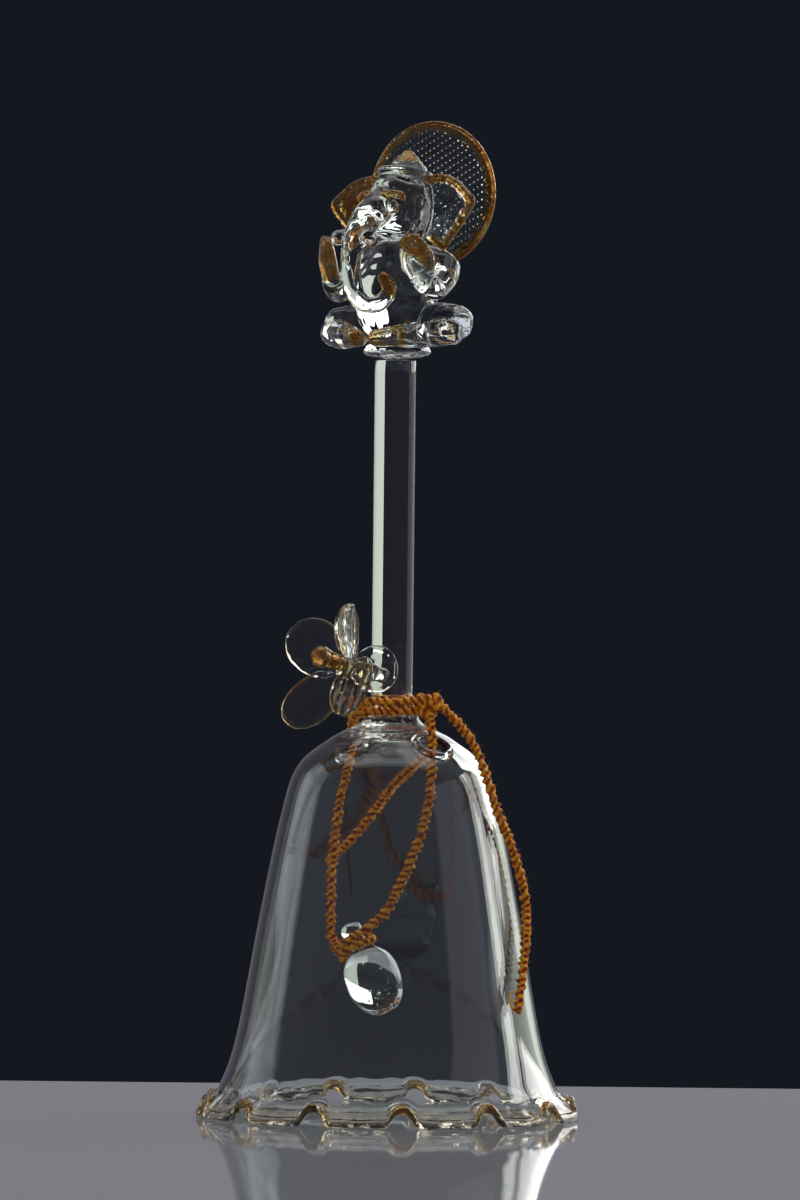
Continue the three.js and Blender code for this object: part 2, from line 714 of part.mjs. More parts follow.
// Round the drop the cord comes in from behind at the left, and leaves across the front.
function dropLoops() {
  const left = new THREE.Vector3(-1, 0, 0).addScaledVector(dropAxis, dropAxis.x).normalize();
  const front = dropAxis.clone().cross(left);
  const count = Math.round(DROP_TURNS * LOOP_STEPS);
  return Array.from({ length: count + 1 }, (_, i) => {
    const turns = i / LOOP_STEPS;
    const height = DROP_TIE_START + DROP_TIE_CLIMB * turns;
    const radius = dropRadius(height) + SEAM + CORD_RADIUS;
    const turn = 2 * Math.PI * turns;
    return dropLow
      .clone()
      .addScaledVector(dropAxis, height)
      .addScaledVector(left, radius * Math.cos(turn))
      .addScaledVector(front, radius * Math.sin(turn));
  });
}

function cord() {
  const neck = withLeads(neckLoops());
  const tie = withLeads(dropLoops());
  for (const [name, points] of [["neck winding", neck], ["drop winding", tie]]) {
    console.log(`${name}: least gap to itself ${leastGap(points).toFixed(2)} mm`);
  }
  return [
    windingTube("cord_neck_winding", neck),
    piece("cord_neck_knot", gather(KNOT, { side: [0, 0, 1], cap: 1.0, steps: 3 }), YARN),
    cordStretch("cord_tail", TAIL),
    cordStretch("cord_left_bridge", LEFT_BRIDGE),
    cordStretch("cord_right_bridge", RIGHT_BRIDGE),
    cordStretch("cord_left_strand", LEFT_STRAND),
    cordStretch("cord_right_strand", RIGHT_STRAND),
    cordStretch("cord_inner_end", INNER_END),
    windingTube("cord_drop_winding", tie),
  ];
}

const bell = new THREE.Group();
bell.add(bellShell(), neckCollar(), figure(), ...flower(), clapperDrop(), ...cord());

export default bell;
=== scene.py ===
# %% [markdown]
# # A lampworked glass bell
# The bell is clear borosilicate glass, blown and drawn in a flame, with an amber lustre on its edges.
# A twisted golden yarn holds a glass drop inside as the clapper. Each cell makes one piece or finish:
# the shapes are worked out as whole numpy arrays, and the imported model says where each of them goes.

import bpy
import numpy as np
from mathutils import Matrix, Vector


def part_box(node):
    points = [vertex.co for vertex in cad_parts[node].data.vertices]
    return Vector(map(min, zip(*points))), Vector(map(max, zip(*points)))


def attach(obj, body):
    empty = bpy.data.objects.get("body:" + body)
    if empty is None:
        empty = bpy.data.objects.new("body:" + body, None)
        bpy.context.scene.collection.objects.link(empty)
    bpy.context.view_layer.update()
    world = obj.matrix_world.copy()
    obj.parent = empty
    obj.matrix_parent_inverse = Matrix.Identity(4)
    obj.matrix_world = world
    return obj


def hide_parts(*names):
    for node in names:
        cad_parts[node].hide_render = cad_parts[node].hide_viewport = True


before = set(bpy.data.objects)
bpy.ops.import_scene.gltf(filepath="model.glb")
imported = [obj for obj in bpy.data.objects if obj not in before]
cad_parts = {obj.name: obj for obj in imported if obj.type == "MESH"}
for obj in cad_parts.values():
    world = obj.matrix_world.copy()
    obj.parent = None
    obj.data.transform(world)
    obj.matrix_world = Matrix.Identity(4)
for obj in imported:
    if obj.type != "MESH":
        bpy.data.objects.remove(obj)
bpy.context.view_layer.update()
MM = 0.001
draws = np.random.default_rng(11)
scene = bpy.context.scene


def node_box(node):
    """Lowest and highest corner of a node of the model, in millimetres."""
    return np.array(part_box(node)) / MM


# %% [markdown]
# ## Working with arrays
# A skin is a grid of points: rings laid one after another, each closed on itself. Four neighbours make
# a face, and a fan closes each end. Drawing the faces from index arrays keeps the code free of loops
# over points, and the sign of the enclosed volume tells which way the faces look.

# %% Skins from rings


def unit(vectors):
    """Vectors of length 1: each one divided by its own length."""
    return vectors / np.linalg.norm(vectors, axis=-1, keepdims=True)


def full_turn(count):
    """Angles round a circle in even steps, from 0 to one step short of 2 pi."""
    return np.linspace(0, 2 * np.pi, count, endpoint=False)


def outward(rings):
    """Rings laid so that their skin looks outwards: where the sum of a . (b x c) over its triangles,
    six times the volume inside, is negative, each ring is reversed."""
    a = rings[:-1] - rings.mean((0, 1))
    d = rings[1:] - rings.mean((0, 1))
    b = np.roll(a, -1, 1)
    c = np.roll(d, -1, 1)
    volume = (np.cross(a, b) * c + np.cross(a, c) * d).sum()
    return rings if volume > 0 else rings[:, ::-1]


def closed_skin(rings):
    """Points and faces over rings of points. Point j of ring i is number i * columns + j, a face joins
    it to its three neighbours, and each end ring fans to its own middle. A triangle repeats its last
    point, so that all faces fit in one array."""
    rings = outward(rings)
    rows, columns, _ = rings.shape
    i, j = np.meshgrid(np.arange(rows - 1), np.arange(columns), indexing="ij")
    near = i * columns + j
    beside = i * columns + (j + 1) % columns
    sides = np.stack([near, beside, beside + columns, near + columns], -1).reshape(-1, 4)
    around = np.arange(columns)
    following = (around + 1) % columns
    first = np.full(columns, rows * columns)
    last = (rows - 1) * columns
    start = np.stack([first, following, around, around], -1)
    end = np.stack([first + 1, last + around, last + following, last + following], -1)
    middles = np.stack([rings[0].mean(0), rings[-1].mean(0)])
    return np.concatenate([rings.reshape(-1, 3), middles]), np.concatenate([sides, start, end])


def joined(skins):
    """Several skins as one: the face numbers of each go up by the points before it."""
    starts = np.cumsum([0] + [len(points) for points, _ in skins[:-1]])
    points = np.concatenate([points for points, _ in skins])
    return points, np.concatenate([faces + start for (_, faces), start in zip(skins, starts)])


def add_mesh(name, skins):
    """A smooth-shaded object at the origin from skins in millimetres."""
    points, faces = joined(skins)
    triangle = faces[:, 2] == faces[:, 3]
    mesh = bpy.data.meshes.new(name)
    mesh.from_pydata(points * MM, [], faces[~triangle].tolist() + faces[triangle, :3].tolist())
    mesh.shade_smooth()
    piece = bpy.data.objects.new(name, mesh)
    scene.collection.objects.link(piece)
    return piece


def finish_piece(piece, material, body, nodes):
    """Gives a piece its finish and its place in the model, and hides the nodes that it stands for."""
    piece.data.materials.clear()
    piece.data.materials.append(material)
    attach(piece, body)
    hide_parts(*nodes)
    piece.data.calc_loop_triangles()
    print(f"{piece.name}: {len(piece.data.loop_triangles)} triangles, rides on {body}")


# %% [markdown]
# ## Lines and gathers
# A lampworker draws each part of the figure as a gather: a soft rod whose width swells and shrinks along
# a bent line. A smooth line through a few chosen stations gives both the line and its widths.

# %% Smooth lines


def smooth_line(stations, count):
    """A smooth line through stations: between two of them it is the cubic whose slope at each is half
    the step from the station before to the station after."""
    stations = np.asarray(stations, float)
    before = 2 * stations[:1] - stations[1:2]
    after = 2 * stations[-1:] - stations[-2:-1]
    padded = np.concatenate([before, stations, after])
    place = np.linspace(0, len(stations) - 1, count)
    i = np.minimum(place.astype(int), len(stations) - 2)
    t = (place - i)[:, None]
    a, b, c, d = (padded[i + k] for k in range(4))
    return b + 0.5 * t * (c - a + t * (2 * a - 5 * b + 4 * c - d + t * (3 * (b - c) + d - a)))


def length_along(line):
    """The length of a line from its start to each of its points: the running sum of its steps."""
    steps = np.linalg.norm(np.diff(line, axis=0), axis=1)
    return np.concatenate([[0], np.cumsum(steps)])


def even_line(points, step):
    """A smooth line through points, taken again at even lengths about one step apart."""
    line = smooth_line(points, 24 * len(points))
    run = length_along(line)
    places = np.linspace(0, run[-1], int(round(run[-1] / step)) + 1)
    return np.stack([np.interp(places, run, column) for column in line.T], -1)


def gather(stations, side=(1, 0, 0), cap=1.0, steps=28, sides=28):
    """A gather along stations of x, y, z, half width and half depth. Each section is the oval
    half width * cos(turn) along the side and half depth * sin(turn) across it; past each end it shrinks
    as cos(t) while it goes on by cap * sin(t), a quarter of an ellipse."""
    stations = [[*s, s[3]] if len(s) == 4 else s for s in stations]
    line = smooth_line(stations, steps)
    centre, half = line[:, :3], np.maximum(line[:, 3:], 0.05)
    along = unit(np.gradient(centre, axis=0))
    flat = unit(np.asarray(side, float) - (along @ np.asarray(side, float))[:, None] * along)
    rise = np.cross(along, flat)
    rounding = np.linspace(0.06, 1, 7)[:-1] * np.pi / 2
    k = np.concatenate([np.zeros(6, int), np.arange(steps), np.full(6, steps - 1)])
    reach = cap * np.concatenate([-np.cos(rounding), np.zeros(steps), np.cos(rounding[::-1])])
    share = np.concatenate([np.sin(rounding), np.ones(steps), np.sin(rounding[::-1])])
    turn = full_turn(sides)[:, None]
    wide = (share * half[k, 0])[:, None, None] * np.cos(turn) * flat[k, None]
    deep = (share * half[k, 1])[:, None, None] * np.sin(turn) * rise[k, None]
    return closed_skin((centre[k] + reach[:, None] * along[k])[:, None] + wide + deep)


print("lines and gathers are ready")

# %% [markdown]
# ## Materials
# Colours are written as they look on a screen and turned to linear light by one function. One small
# function adds a node, sets its values and links its inputs, so that each finish reads as a list.

# %% Colours and nodes


def linear(code):
    """Linear RGBA of an sRGB hex colour: c / 12.92 up to 0.04045, else ((c + 0.055) / 1.055) ** 2.4."""
    srgb = np.array([int(code[i : i + 2], 16) for i in (1, 3, 5)]) / 255
    light = np.where(srgb <= 0.04045, srgb / 12.92, ((srgb + 0.055) / 1.055) ** 2.4)
    return (*light.tolist(), 1.0)


def add_node(tree, kind, links=(), values=(), **settings):
    """A shader node with its settings, its input values and its links, each by name or number."""
    node = tree.nodes.new("ShaderNode" + kind)
    for name, value in settings.items():
        setattr(node, name, value)
    for name, value in dict(values).items():
        node.inputs[name].default_value = value
    for name, socket in dict(links).items():
        tree.links.new(socket, node.inputs[name])
    return node


def new_material(name):
    """An empty node material and its tree."""
    material = bpy.data.materials.new(name)
    material.use_nodes = True
    material.node_tree.nodes.clear()
    return material, material.node_tree


# %% [markdown]
# ### Borosilicate glass with amber lustre
# Borosilicate has an index of 1.473 and, worked in a flame, a wet gloss with slow waves drawn out along
# it. The amber is a metal fumed on the surface: it tints what shines through, scatters a little light,
# mirrors the rest in gold and breaks up into patches. One attribute says where it lies, and another where
# the flame left the glass hazy. Rays from lamps pass straight through, so that the cord and the floor
# inside the bell are lit.

# %% Glass
GLASS_INDEX = 1.473
LUSTRE_PATCH = 1.8 * MM
WAVE_LENGTH = 6.0 * MM
WAVE_DRAWN = 0.2
WAVE_HEIGHT = 0.05 * MM
CRUST_HEIGHT = 0.3 * MM
WET_GLOSS = 0.015
HAZY_GLOSS = 0.2


def glass_material():
    """Clear glass whose tint goes to amber, and whose clearness falls, with the amber attribute times
    patches of noise, and whose gloss dulls with the haze attribute."""
    material, tree = new_material("flameworked_borosilicate")
    place = add_node(tree, "TexCoord").outputs["Object"]
    amber = add_node(tree, "Attribute", attribute_name="amber").outputs["Fac"]
    patch_look = {"Scale": 1 / LUSTRE_PATCH, "Detail": 3.0, "Roughness": 0.6}
    patches = add_node(tree, "TexNoise", {"Vector": place}, patch_look)
    patchy = add_node(
        tree,
        "MapRange",
        {"Value": patches.outputs["Fac"]},
        {"From Min": 0.36, "From Max": 0.6, "To Min": 0.25, "To Max": 1.0},
    )
    stained = add_node(tree, "Math", {0: amber, 1: patchy.outputs["Result"]}, operation="MULTIPLY")
    stain = stained.outputs[0]
    tint = add_node(tree, "ValToRGB", {"Fac": stain})
    tint.color_ramp.elements[0].color = linear("#F2F6F4")
    tint.color_ramp.elements[1].color = linear("#A8640C")
    tint.color_ramp.elements.new(0.45).color = linear("#D0A850")
    clearness = add_node(tree, "MapRange", {"Value": stain}, {"To Min": 1.0, "To Max": 0.92})
    mirror = {"From Min": 0.2, "To Min": 0.0, "To Max": 0.45}
    metal = add_node(tree, "MapRange", {"Value": stain}, mirror)
    drawn = add_node(tree, "VectorMath", {0: place}, {1: (1, 1, WAVE_DRAWN)}, operation="MULTIPLY")
    wave_look = {"Scale": 1 / WAVE_LENGTH, "Detail": 1.0}
    waves = add_node(tree, "TexNoise", {"Vector": drawn.outputs[0]}, wave_look)
    wave_bump = {"Strength": 0.35, "Distance": WAVE_HEIGHT}
    surface = add_node(tree, "Bump", {"Height": waves.outputs["Fac"]}, wave_bump)
    crust = add_node(
        tree,
        "Bump",
        {"Height": stain, "Normal": surface.outputs["Normal"]},
        {"Strength": 0.5, "Distance": CRUST_HEIGHT},
    )
    haze = add_node(tree, "Attribute", attribute_name="haze").outputs["Fac"]
    gloss = add_node(tree, "MapRange", {"Value": haze}, {"To Min": WET_GLOSS, "To Max": HAZY_GLOSS})
    glass = add_node(
        tree,
        "BsdfPrincipled",
        {
            "Base Color": tint.outputs["Color"],
            "Roughness": gloss.outputs["Result"],
            "Metallic": metal.outputs["Result"],
            "Transmission Weight": clearness.outputs["Result"],
            "Normal": crust.outputs["Normal"],
        },
        {"IOR": GLASS_INDEX},
    )
    rays = add_node(tree, "LightPath").outputs
    lamp_rays = {0: rays["Is Shadow Ray"], 1: rays["Is Diffuse Ray"]}
    lamp_ray = add_node(tree, "Math", lamp_rays, operation="MAXIMUM")
    open_way = add_node(tree, "BsdfTransparent", values={"Color": linear("#F0F2F1")})
    both_ways = {0: lamp_ray.outputs[0], 1: glass.outputs[0], 2: open_way.outputs[0]}
    mixed = add_node(tree, "MixShader", both_ways)
    add_node(tree, "OutputMaterial", {"Surface": mixed.outputs[0]})
    return material


glass = glass_material()
print("glass:", glass.name)

# %% [markdown]
# Amber and haze are written on a piece as one number at each point. Hand-formed glass is never quite even
# either, so drawn waves push its points in and out. A smooth step says where all of these fade away.

# %% Working the surface
LUMP_WAVES = 24
LUMP_SPREAD = (0.6, 1.6)


def write_points(piece, name, values):
    """Writes an attribute of a piece, a number or a vector at each point."""
    kind, field = ("FLOAT", "value") if values.ndim == 1 else ("FLOAT_VECTOR", "vector")
    attribute = piece.data.attributes.new(name, kind, "POINT")
    attribute.data.foreach_set(field, values.astype(np.float32).ravel())


def points_of(piece):
    """The points of a piece, in millimetres."""
    flat = np.empty(3 * len(piece.data.vertices), np.float32)
    piece.data.vertices.foreach_get("co", flat)
    return flat.reshape(-1, 3).astype(float) / MM


def lumpy(piece, size, wave, share=1.0):
    """Each point moves along its normal by size * share times the sum of drawn waves
    sin(k . point + phase) of about the given length, and stays above the table."""
    points = points_of(piece)
    normals = np.empty(points.size, np.float32)
    piece.data.vertices.foreach_get("normal", normals)
    k = unit(draws.normal(size=(LUMP_WAVES, 3)))
    k = k * draws.uniform(*LUMP_SPREAD, (LUMP_WAVES, 1)) * 2 * np.pi / wave
    phase = draws.uniform(0, 2 * np.pi, LUMP_WAVES)
    lumps = np.sin(points @ k.T + phase).sum(1) / np.sqrt(LUMP_WAVES / 2)
    points += (size * share * lumps)[:, None] * normals.reshape(-1, 3)
    points[:, 2] = np.maximum(points[:, 2], 0)
    piece.data.vertices.foreach_set("co", (points * MM).astype(np.float32).ravel())
    piece.data.update()


def ramp(value, low, high):
    """0 below low, 1 above high, and between them the smooth step 3 t² - 2 t³."""
    t = np.clip((value - low) / (high - low), 0, 1)
    return t * t * (3 - 2 * t)


print("uneven glass:", LUMP_WAVES, "waves")

# %% [markdown]
# ## The camera
# The photograph looks level at the middle of the bell from about 1.3 m with a long lens, and the bell
# leans by half a degree in it, which a small roll of the camera gives.

# %% Camera
VIEW_DISTANCE = 1.29
VIEW_HEIGHT = 0.0881
VIEW_ASIDE = 0.0012
VIEW_ROLL = 0.6
PHOTO_LONG_SIDE = 0.2048
SENSOR = 36.0

camera_data = bpy.data.cameras.new("photo_camera")
camera_data.sensor_width = SENSOR
camera_data.lens = SENSOR * VIEW_DISTANCE / PHOTO_LONG_SIDE
camera = bpy.data.objects.new("photo_camera", camera_data)
camera.location = (VIEW_ASIDE, -VIEW_DISTANCE, VIEW_HEIGHT)
camera.rotation_euler = (np.pi / 2, -np.radians(VIEW_ROLL), 0)
scene.collection.objects.link(camera)
scene.camera = camera
print(f"camera: {camera_data.lens:.0f} mm lens at {VIEW_DISTANCE} m")

# %% [markdown]
# ## The cord
# The clapper hangs on a two-ply yarn, about 1.5 mm thick, twisted by hand. Its plies cross every 1.4 mm or
# so, and loose fibres stand off it. A tube with a pattern would show none of that at its edge, so the
# section itself is that of two round plies, and it turns as it goes along.

# %% Yarn
CORD_DIAMETER = 1.5
PLY_RADIUS = 0.52
PLY_OFFSET = 0.35
PLY_PITCH = 2.7
ROPE_STEP = 0.16
ROPE_SIDES = 28
# By how many radians the twist wanders, and the length in millimetres over which it does.
TWIST_WANDER = ((0.6, 2.9), (0.5, 0.8))
LUMPS = 9
LUMP_SIZE = 0.12
LUMP_RATES = (0.5, 6.0)
LUMPS_ROUND = 4


def rope_rings(path, lean):
    """Rings of a two-ply rope. At an angle p from the line between the plies its edge is at
    d |cos p| + sqrt(a² - d² sin² p) from the path, the far side of the nearer of two circles of radius a
    with their middles at d; p turns once in each pitch and wanders by slow sines, and a sum of drawn
    waves, sine of rate * length + count * p + phase, makes the yarn lumpy. Returns the rings, the place of
    each point in the straight rope, and its height on the ply from 0 to 1."""
    line = even_line(path, ROPE_STEP)
    along = unit(np.gradient(line, axis=0))
    side = unit(np.cross(along, np.asarray(lean, float)))
    up = np.cross(side, along)
    run = length_along(line)[:, None]
    turn = full_turn(ROPE_SIDES)[None]
    wander = sum(angle * np.sin(run / length) for angle, length in TWIST_WANDER)
    p = turn - 2 * np.pi * run / PLY_PITCH - wander
    edge = PLY_OFFSET * np.abs(np.cos(p)) + np.sqrt(PLY_RADIUS**2 - (PLY_OFFSET * np.sin(p)) ** 2)
    rate = draws.uniform(*LUMP_RATES, LUMPS)
    phase = draws.uniform(0, 2 * np.pi, LUMPS)
    count = draws.integers(0, LUMPS_ROUND, LUMPS)
    waves = np.sin(run[..., None] * rate + p[..., None] * count + phase)
    reach = edge * (1 + LUMP_SIZE * waves.sum(-1) / np.sqrt(LUMPS / 2))
    # The height on the ply sets the yarn's painted shade in the lay and painted highlights on the crests.
    crest = np.clip((reach - edge.min()) / (edge.max() - edge.min()), 0, 1)
    way = np.cos(turn)[..., None] * side[:, None] + np.sin(turn)[..., None] * up[:, None]
    lay = np.stack([edge * np.cos(p), edge * np.sin(p), run + 0 * p], -1)
    return line[:, None] + reach[..., None] * way, lay, crest


print(f"yarn: {2 * (PLY_OFFSET + PLY_RADIUS):.1f} mm over both plies, {PLY_PITCH} mm to a turn")

# %% [markdown]
# Short fibres stand off the yarn everywhere. Each is a thin spike with a bend, and there are thousands of
# them, so all the spikes of a rope come out of one array.

# %% Loose fibres
FIBRES_PER_MM = 14
FIBRE_THICKNESS = 0.036
FIBRE_LENGTHS = (0.2, 0.85)
FIBRE_STRAY = 1.2
FIBRE_BEND = 0.6
FIBRE_TAPER = 0.7


def fibres(rings, lay):
    """Loose fibres: thin three-sided spikes that leave the rope's edge at drawn points, half outwards and
    half along drawn directions, and bend as the square of their length. All of them are made at once."""
    centre = rings.mean(1)
    count = int(FIBRES_PER_MM * length_along(centre)[-1])
    i = draws.integers(0, len(rings), count)
    j = draws.integers(0, rings.shape[1], count)
    root = rings[i, j]
    out = unit(root - centre[i])
    way = unit(out + FIBRE_STRAY * unit(draws.normal(size=(count, 3))))
    bend = FIBRE_BEND * unit(draws.normal(size=(count, 3)))
    size = draws.uniform(*FIBRE_LENGTHS, count)[:, None, None]
    t = np.linspace(0, 1, 4)[None, :, None]
    line = root[:, None] + size * (t * way[:, None] + t * t * bend[:, None])
    flat = unit(np.cross(way, bend + out))
    rise = np.cross(way, flat)
    thick = 0.5 * FIBRE_THICKNESS * (1 - FIBRE_TAPER * t)[..., None]
    turn = full_turn(3)[None, None, :, None]
    spread = np.cos(turn) * flat[:, None, None] + np.sin(turn) * rise[:, None, None]
    spikes = line[:, :, None] + thick * spread
    template = closed_skin(spikes[0])[1]
    ends = np.stack([spikes[:, 0].mean(1), spikes[:, -1].mean(1)], 1)
    points = np.concatenate([spikes.reshape(count, -1, 3), ends], 1)
    per_spike = points.shape[1]
    faces = (template[None] + per_spike * np.arange(count)[:, None, None]).reshape(-1, 4)
    fibre_lay = np.repeat(lay[i, j], per_spike, 0)
    return (points.reshape(-1, 3), faces), fibre_lay


print("fibres to a millimetre:", FIBRES_PER_MM)

# %% [markdown]
# ### Golden spun yarn
# The dye is golden brown with streaks along the fibres; painted shade darkens the lay between the plies and
# painted highlights brighten their crests and the loose fibres. Two attributes carry this on each rope:
# where a point lies in the straight rope, and its height on a ply.

# %% Yarn finish
STREAK_WIDTH = 0.25
STREAK_LENGTH = 1.6
# How much of the tone is painted shade and highlight, taken from the height on the ply.
PAINTED_LIGHT_SHARE = 0.55
# Loose fibres are painted as if on a crest: a painted highlight.
FIBRE_PAINTED_HIGHLIGHT = 0.9


def yarn_material():
    """Dyed spun yarn: dull and streaked along its fibres, with painted highlights on the crests and the
    loose fibres, and painted shade in the lay between the plies."""
    material, tree = new_material("golden_yarn_with_painted_light")
    lay = add_node(tree, "Attribute", attribute_name="lay").outputs["Vector"]
    crest = add_node(tree, "Attribute", attribute_name="crest").outputs["Fac"]
    # A fibre is far thinner than a pixel, so the streaks are drawn coarser than the real ones.
    streak = (1 / STREAK_WIDTH, 1 / STREAK_WIDTH, 1 / STREAK_LENGTH)
    stretched = add_node(tree, "VectorMath", {0: lay}, {1: streak}, operation="MULTIPLY")
    streak_look = {"Scale": 1.0, "Detail": 3.0, "Roughness": 0.65}
    streaks = add_node(tree, "TexNoise", {"Vector": stretched.outputs[0]}, streak_look)
    # Tone: the streaks, plus the height on the ply as painted shade in the lay and painted highlight on the
    # crests.
    parts = {0: crest, 2: streaks.outputs["Fac"]}
    tone = add_node(tree, "Math", parts, {1: PAINTED_LIGHT_SHARE}, operation="MULTIPLY_ADD")
    # Dark brown at the low end of the ramp is painted shade, the oranges are the dye, and the pale gold at
    # the top is a painted highlight.
    dye_and_painted_light = add_node(tree, "ValToRGB", {"Fac": tone.outputs[0]})
    dye_and_painted_light.color_ramp.elements[0].position = 0.35
    dye_and_painted_light.color_ramp.elements[0].color = linear("#361200")
    dye_and_painted_light.color_ramp.elements[1].position = 0.98
    dye_and_painted_light.color_ramp.elements[1].color = linear("#FFB428")
    dye_and_painted_light.color_ramp.elements.new(0.62).color = linear("#9A4002")
    dye_and_painted_light.color_ramp.elements.new(0.82).color = linear("#D86C02")
    streak_bump = {"Strength": 0.9, "Distance": 0.12 * MM}
    surface = add_node(tree, "Bump", {"Height": streaks.outputs["Fac"]}, streak_bump)
    yarn = add_node(
        tree,
        "BsdfPrincipled",
        {"Base Color": dye_and_painted_light.outputs["Color"], "Normal": surface.outputs["Normal"]},
        {"Roughness": 0.5, "Specular IOR Level": 0.3},
    )
    add_node(tree, "OutputMaterial", {"Surface": yarn.outputs[0]})
    return material


yarn = yarn_material()
print("yarn:", yarn.name)


def add_rope(name, path, lean, frays=()):
    """A rope with its fibres and frayed plies as one object, with the attributes that its finish reads."""
    rings, lay, crest = rope_rings(path, lean)
    loose, loose_lay = fibres(rings, lay)
    piece = add_mesh(name, [closed_skin(rings), loose, *frays])
    frayed = np.zeros((len(piece.data.vertices) - lay[..., 0].size - 2 - len(loose_lay), 3))
    lay_all = np.concatenate([lay.reshape(-1, 3), lay[0, :1], lay[-1, :1], loose_lay, frayed])
    # Fibres and frayed plies take a high ply height, so they are painted in the highlight colour.
    loose_painted_highlight = np.full(len(loose_lay) + len(frayed), FIBRE_PAINTED_HIGHLIGHT)
    crest_all = np.concatenate([crest.ravel(), [0.5, 0.5], loose_painted_highlight])
    write_points(piece, "lay", lay_all)
    write_points(piece, "crest", crest_all)
    return piece


# %% [markdown]
# ### The cord's route
# It is one length of yarn. It comes up through the left hole, winds round the neck, is knotted there and
# leaves a tail down the outside; from the right hole it goes back inside. The drop hangs on the loop
# between the two holes, and a spare end is tucked in at the right hole and leans on the wall at the back.
# The route repeats the points of the solids.

# %% Route
SOLID_GAP = 0.3
CROWN_HEIGHT = node_box("neck_collar")[0, 2] - SOLID_GAP


def ring_point(radius, turn, height):
    """Points at a turn from the front towards the right, as seen from above."""
    return np.stack([radius * np.sin(turn), -radius * np.cos(turn), height + 0 * turn], -1)


LEFT_BRIDGE = [
    (-6.88, 8.96, 63.0), (-6.95, 8.5, 65.4), (-6.6, 6.5, 67.3), (-6.2, 4.3, 68.1), (-6.05, 2.35, 68.5),
]
NECK_TURNS = 31 / 24
NECK_LOOP_RADIUS = 5.8
NECK_LOOP_SPREAD = 0.9
NECK_LOOP_HEIGHT = 2.35
NECK_LOOP_CLIMB = 1.6
NECK_END = [(4.0, -6.7, 71.0), (5.6, -6.2, 70.8)]
turns = np.linspace(0, NECK_TURNS, 17)
neck_loops = ring_point(
    NECK_LOOP_RADIUS + NECK_LOOP_SPREAD * turns,
    (2 * turns - 0.5) * np.pi,
    CROWN_HEIGHT + NECK_LOOP_HEIGHT + NECK_LOOP_CLIMB * turns,
)
neck_path = np.concatenate([LEFT_BRIDGE, neck_loops, NECK_END])

KNOT_CENTRE = np.array([6.2, -6.0, 70.25])
RIGHT_BRIDGE = [(6.88, -8.96, 63.0), (6.82, -8.7, 65.2), (6.6, -7.9, 66.6), (6.4, -6.9, 68.0)]
TAIL = [
    (8.3, -5.8, 70.1), (9.7, -5.4, 68.9), (11.6, -5.4, 66.9), (13.2, -5.9, 64.8), (14.9, -7.0, 61.6),
    (16.4, -8.4, 57.4), (17.9, -8.2, 53.0), (20.0, -5.9, 48.0), (21.7, -3.9, 43.2), (22.8, -3.4, 38.8),
    (23.2, -5.2, 34.0), (22.9, -9.0, 29.0), (22.4, -12.2, 24.0), (21.7, -15.2, 18.9),
]
tail_path = np.concatenate([RIGHT_BRIDGE, [KNOT_CENTRE], TAIL])
TAIL_FRAY = [
    (21.7, -15.1, 19.1, 0.2), (20.9, -15.3, 19.5, 0.17), (20.4, -15.2, 20.7, 0.15),
    (20.6, -15.1, 22.0, 0.14), (21.2, -14.9, 22.3, 0.13),
]

DROP_LOW = np.array([-0.2, 1.1, 17.6])
DROP_HIGH = np.array([-7.0, 4.1, 32.4])
DROP_PROFILE = np.array([
    (0, 0), (2.1, 0.45), (3.8, 2.1), (4.7, 4.7), (4.75, 7.3), (4.1, 9.6), (2.6, 11.4), (1.75, 13.0),
    (1.6, 14.2), (1.95, 15.3), (1.5, 16.3), (0, 16.8),
])
drop_axis = unit(DROP_HIGH - DROP_LOW)
drop_left = unit(np.array([-1.0, 0, 0]) + drop_axis * drop_axis[0])
drop_front = np.cross(drop_axis, drop_left)
TIE_TURNS = 1.25
TIE_HEIGHT = 12.0
TIE_CLIMB = 1.5
turns = np.linspace(0, TIE_TURNS, 17)
tie_height = TIE_HEIGHT + TIE_CLIMB * turns
tie_radius = np.interp(tie_height, DROP_PROFILE[:, 1], DROP_PROFILE[:, 0]) + CORD_DIAMETER / 2
tie_loops = (
    DROP_LOW
    + tie_height[:, None] * drop_axis
    + (tie_radius * np.cos(2 * np.pi * turns))[:, None] * drop_left
    + (tie_radius * np.sin(2 * np.pi * turns))[:, None] * drop_front
)
LEFT_STRAND = [
    (-6.88, 8.96, 62.9), (-7.9, 9.4, 58.5), (-9.0, 9.7, 53.0), (-9.8, 9.5, 46.0), (-10.2, 8.9, 39.5),
    (-10.2, 8.5, 33.5), (-9.9, 7.4, 29.4),
]
RIGHT_STRAND = [
    (-3.8, 0.7, 31.8), (-2.1, 0.55, 33.5), (-0.2, 0.0, 35.4), (2.4, -2.4, 40.8), (4.6, -5.2, 46.5),
    (6.2, -7.6, 53.0), (6.8, -8.7, 58.5), (6.88, -8.96, 62.9),
]
loop_path = np.concatenate([LEFT_STRAND, tie_loops, RIGHT_STRAND])
INNER_END = [
    (6.45, -8.0, 62.1), (4.0, -2.4, 60.2), (0.4, 8.0, 56.2), (-3.0, 14.6, 51.3), (-7.0, 15.5, 46.6),
    (-11.1, 13.8, 42.9),
]
print("points on the routes:", [len(path) for path in (neck_path, tail_path, loop_path, INNER_END)])

# %% [markdown]
# Each stretch of the cord is made along its own route, and the knot goes with the stretch that has the
# tail. A frayed ply curls up beside the tail's end.

# %% Cords
KNOT_SIZE = 0.6
KNOT_DEPTH = 1.4


def add_cord(name, path, lean, body, nodes, frays=()):
    """A rope along a path, finished as yarn and set on a body, with the nodes that it stands for hidden."""
    piece = add_rope(name, path, lean, frays)
    finish_piece(piece, yarn, body, nodes)


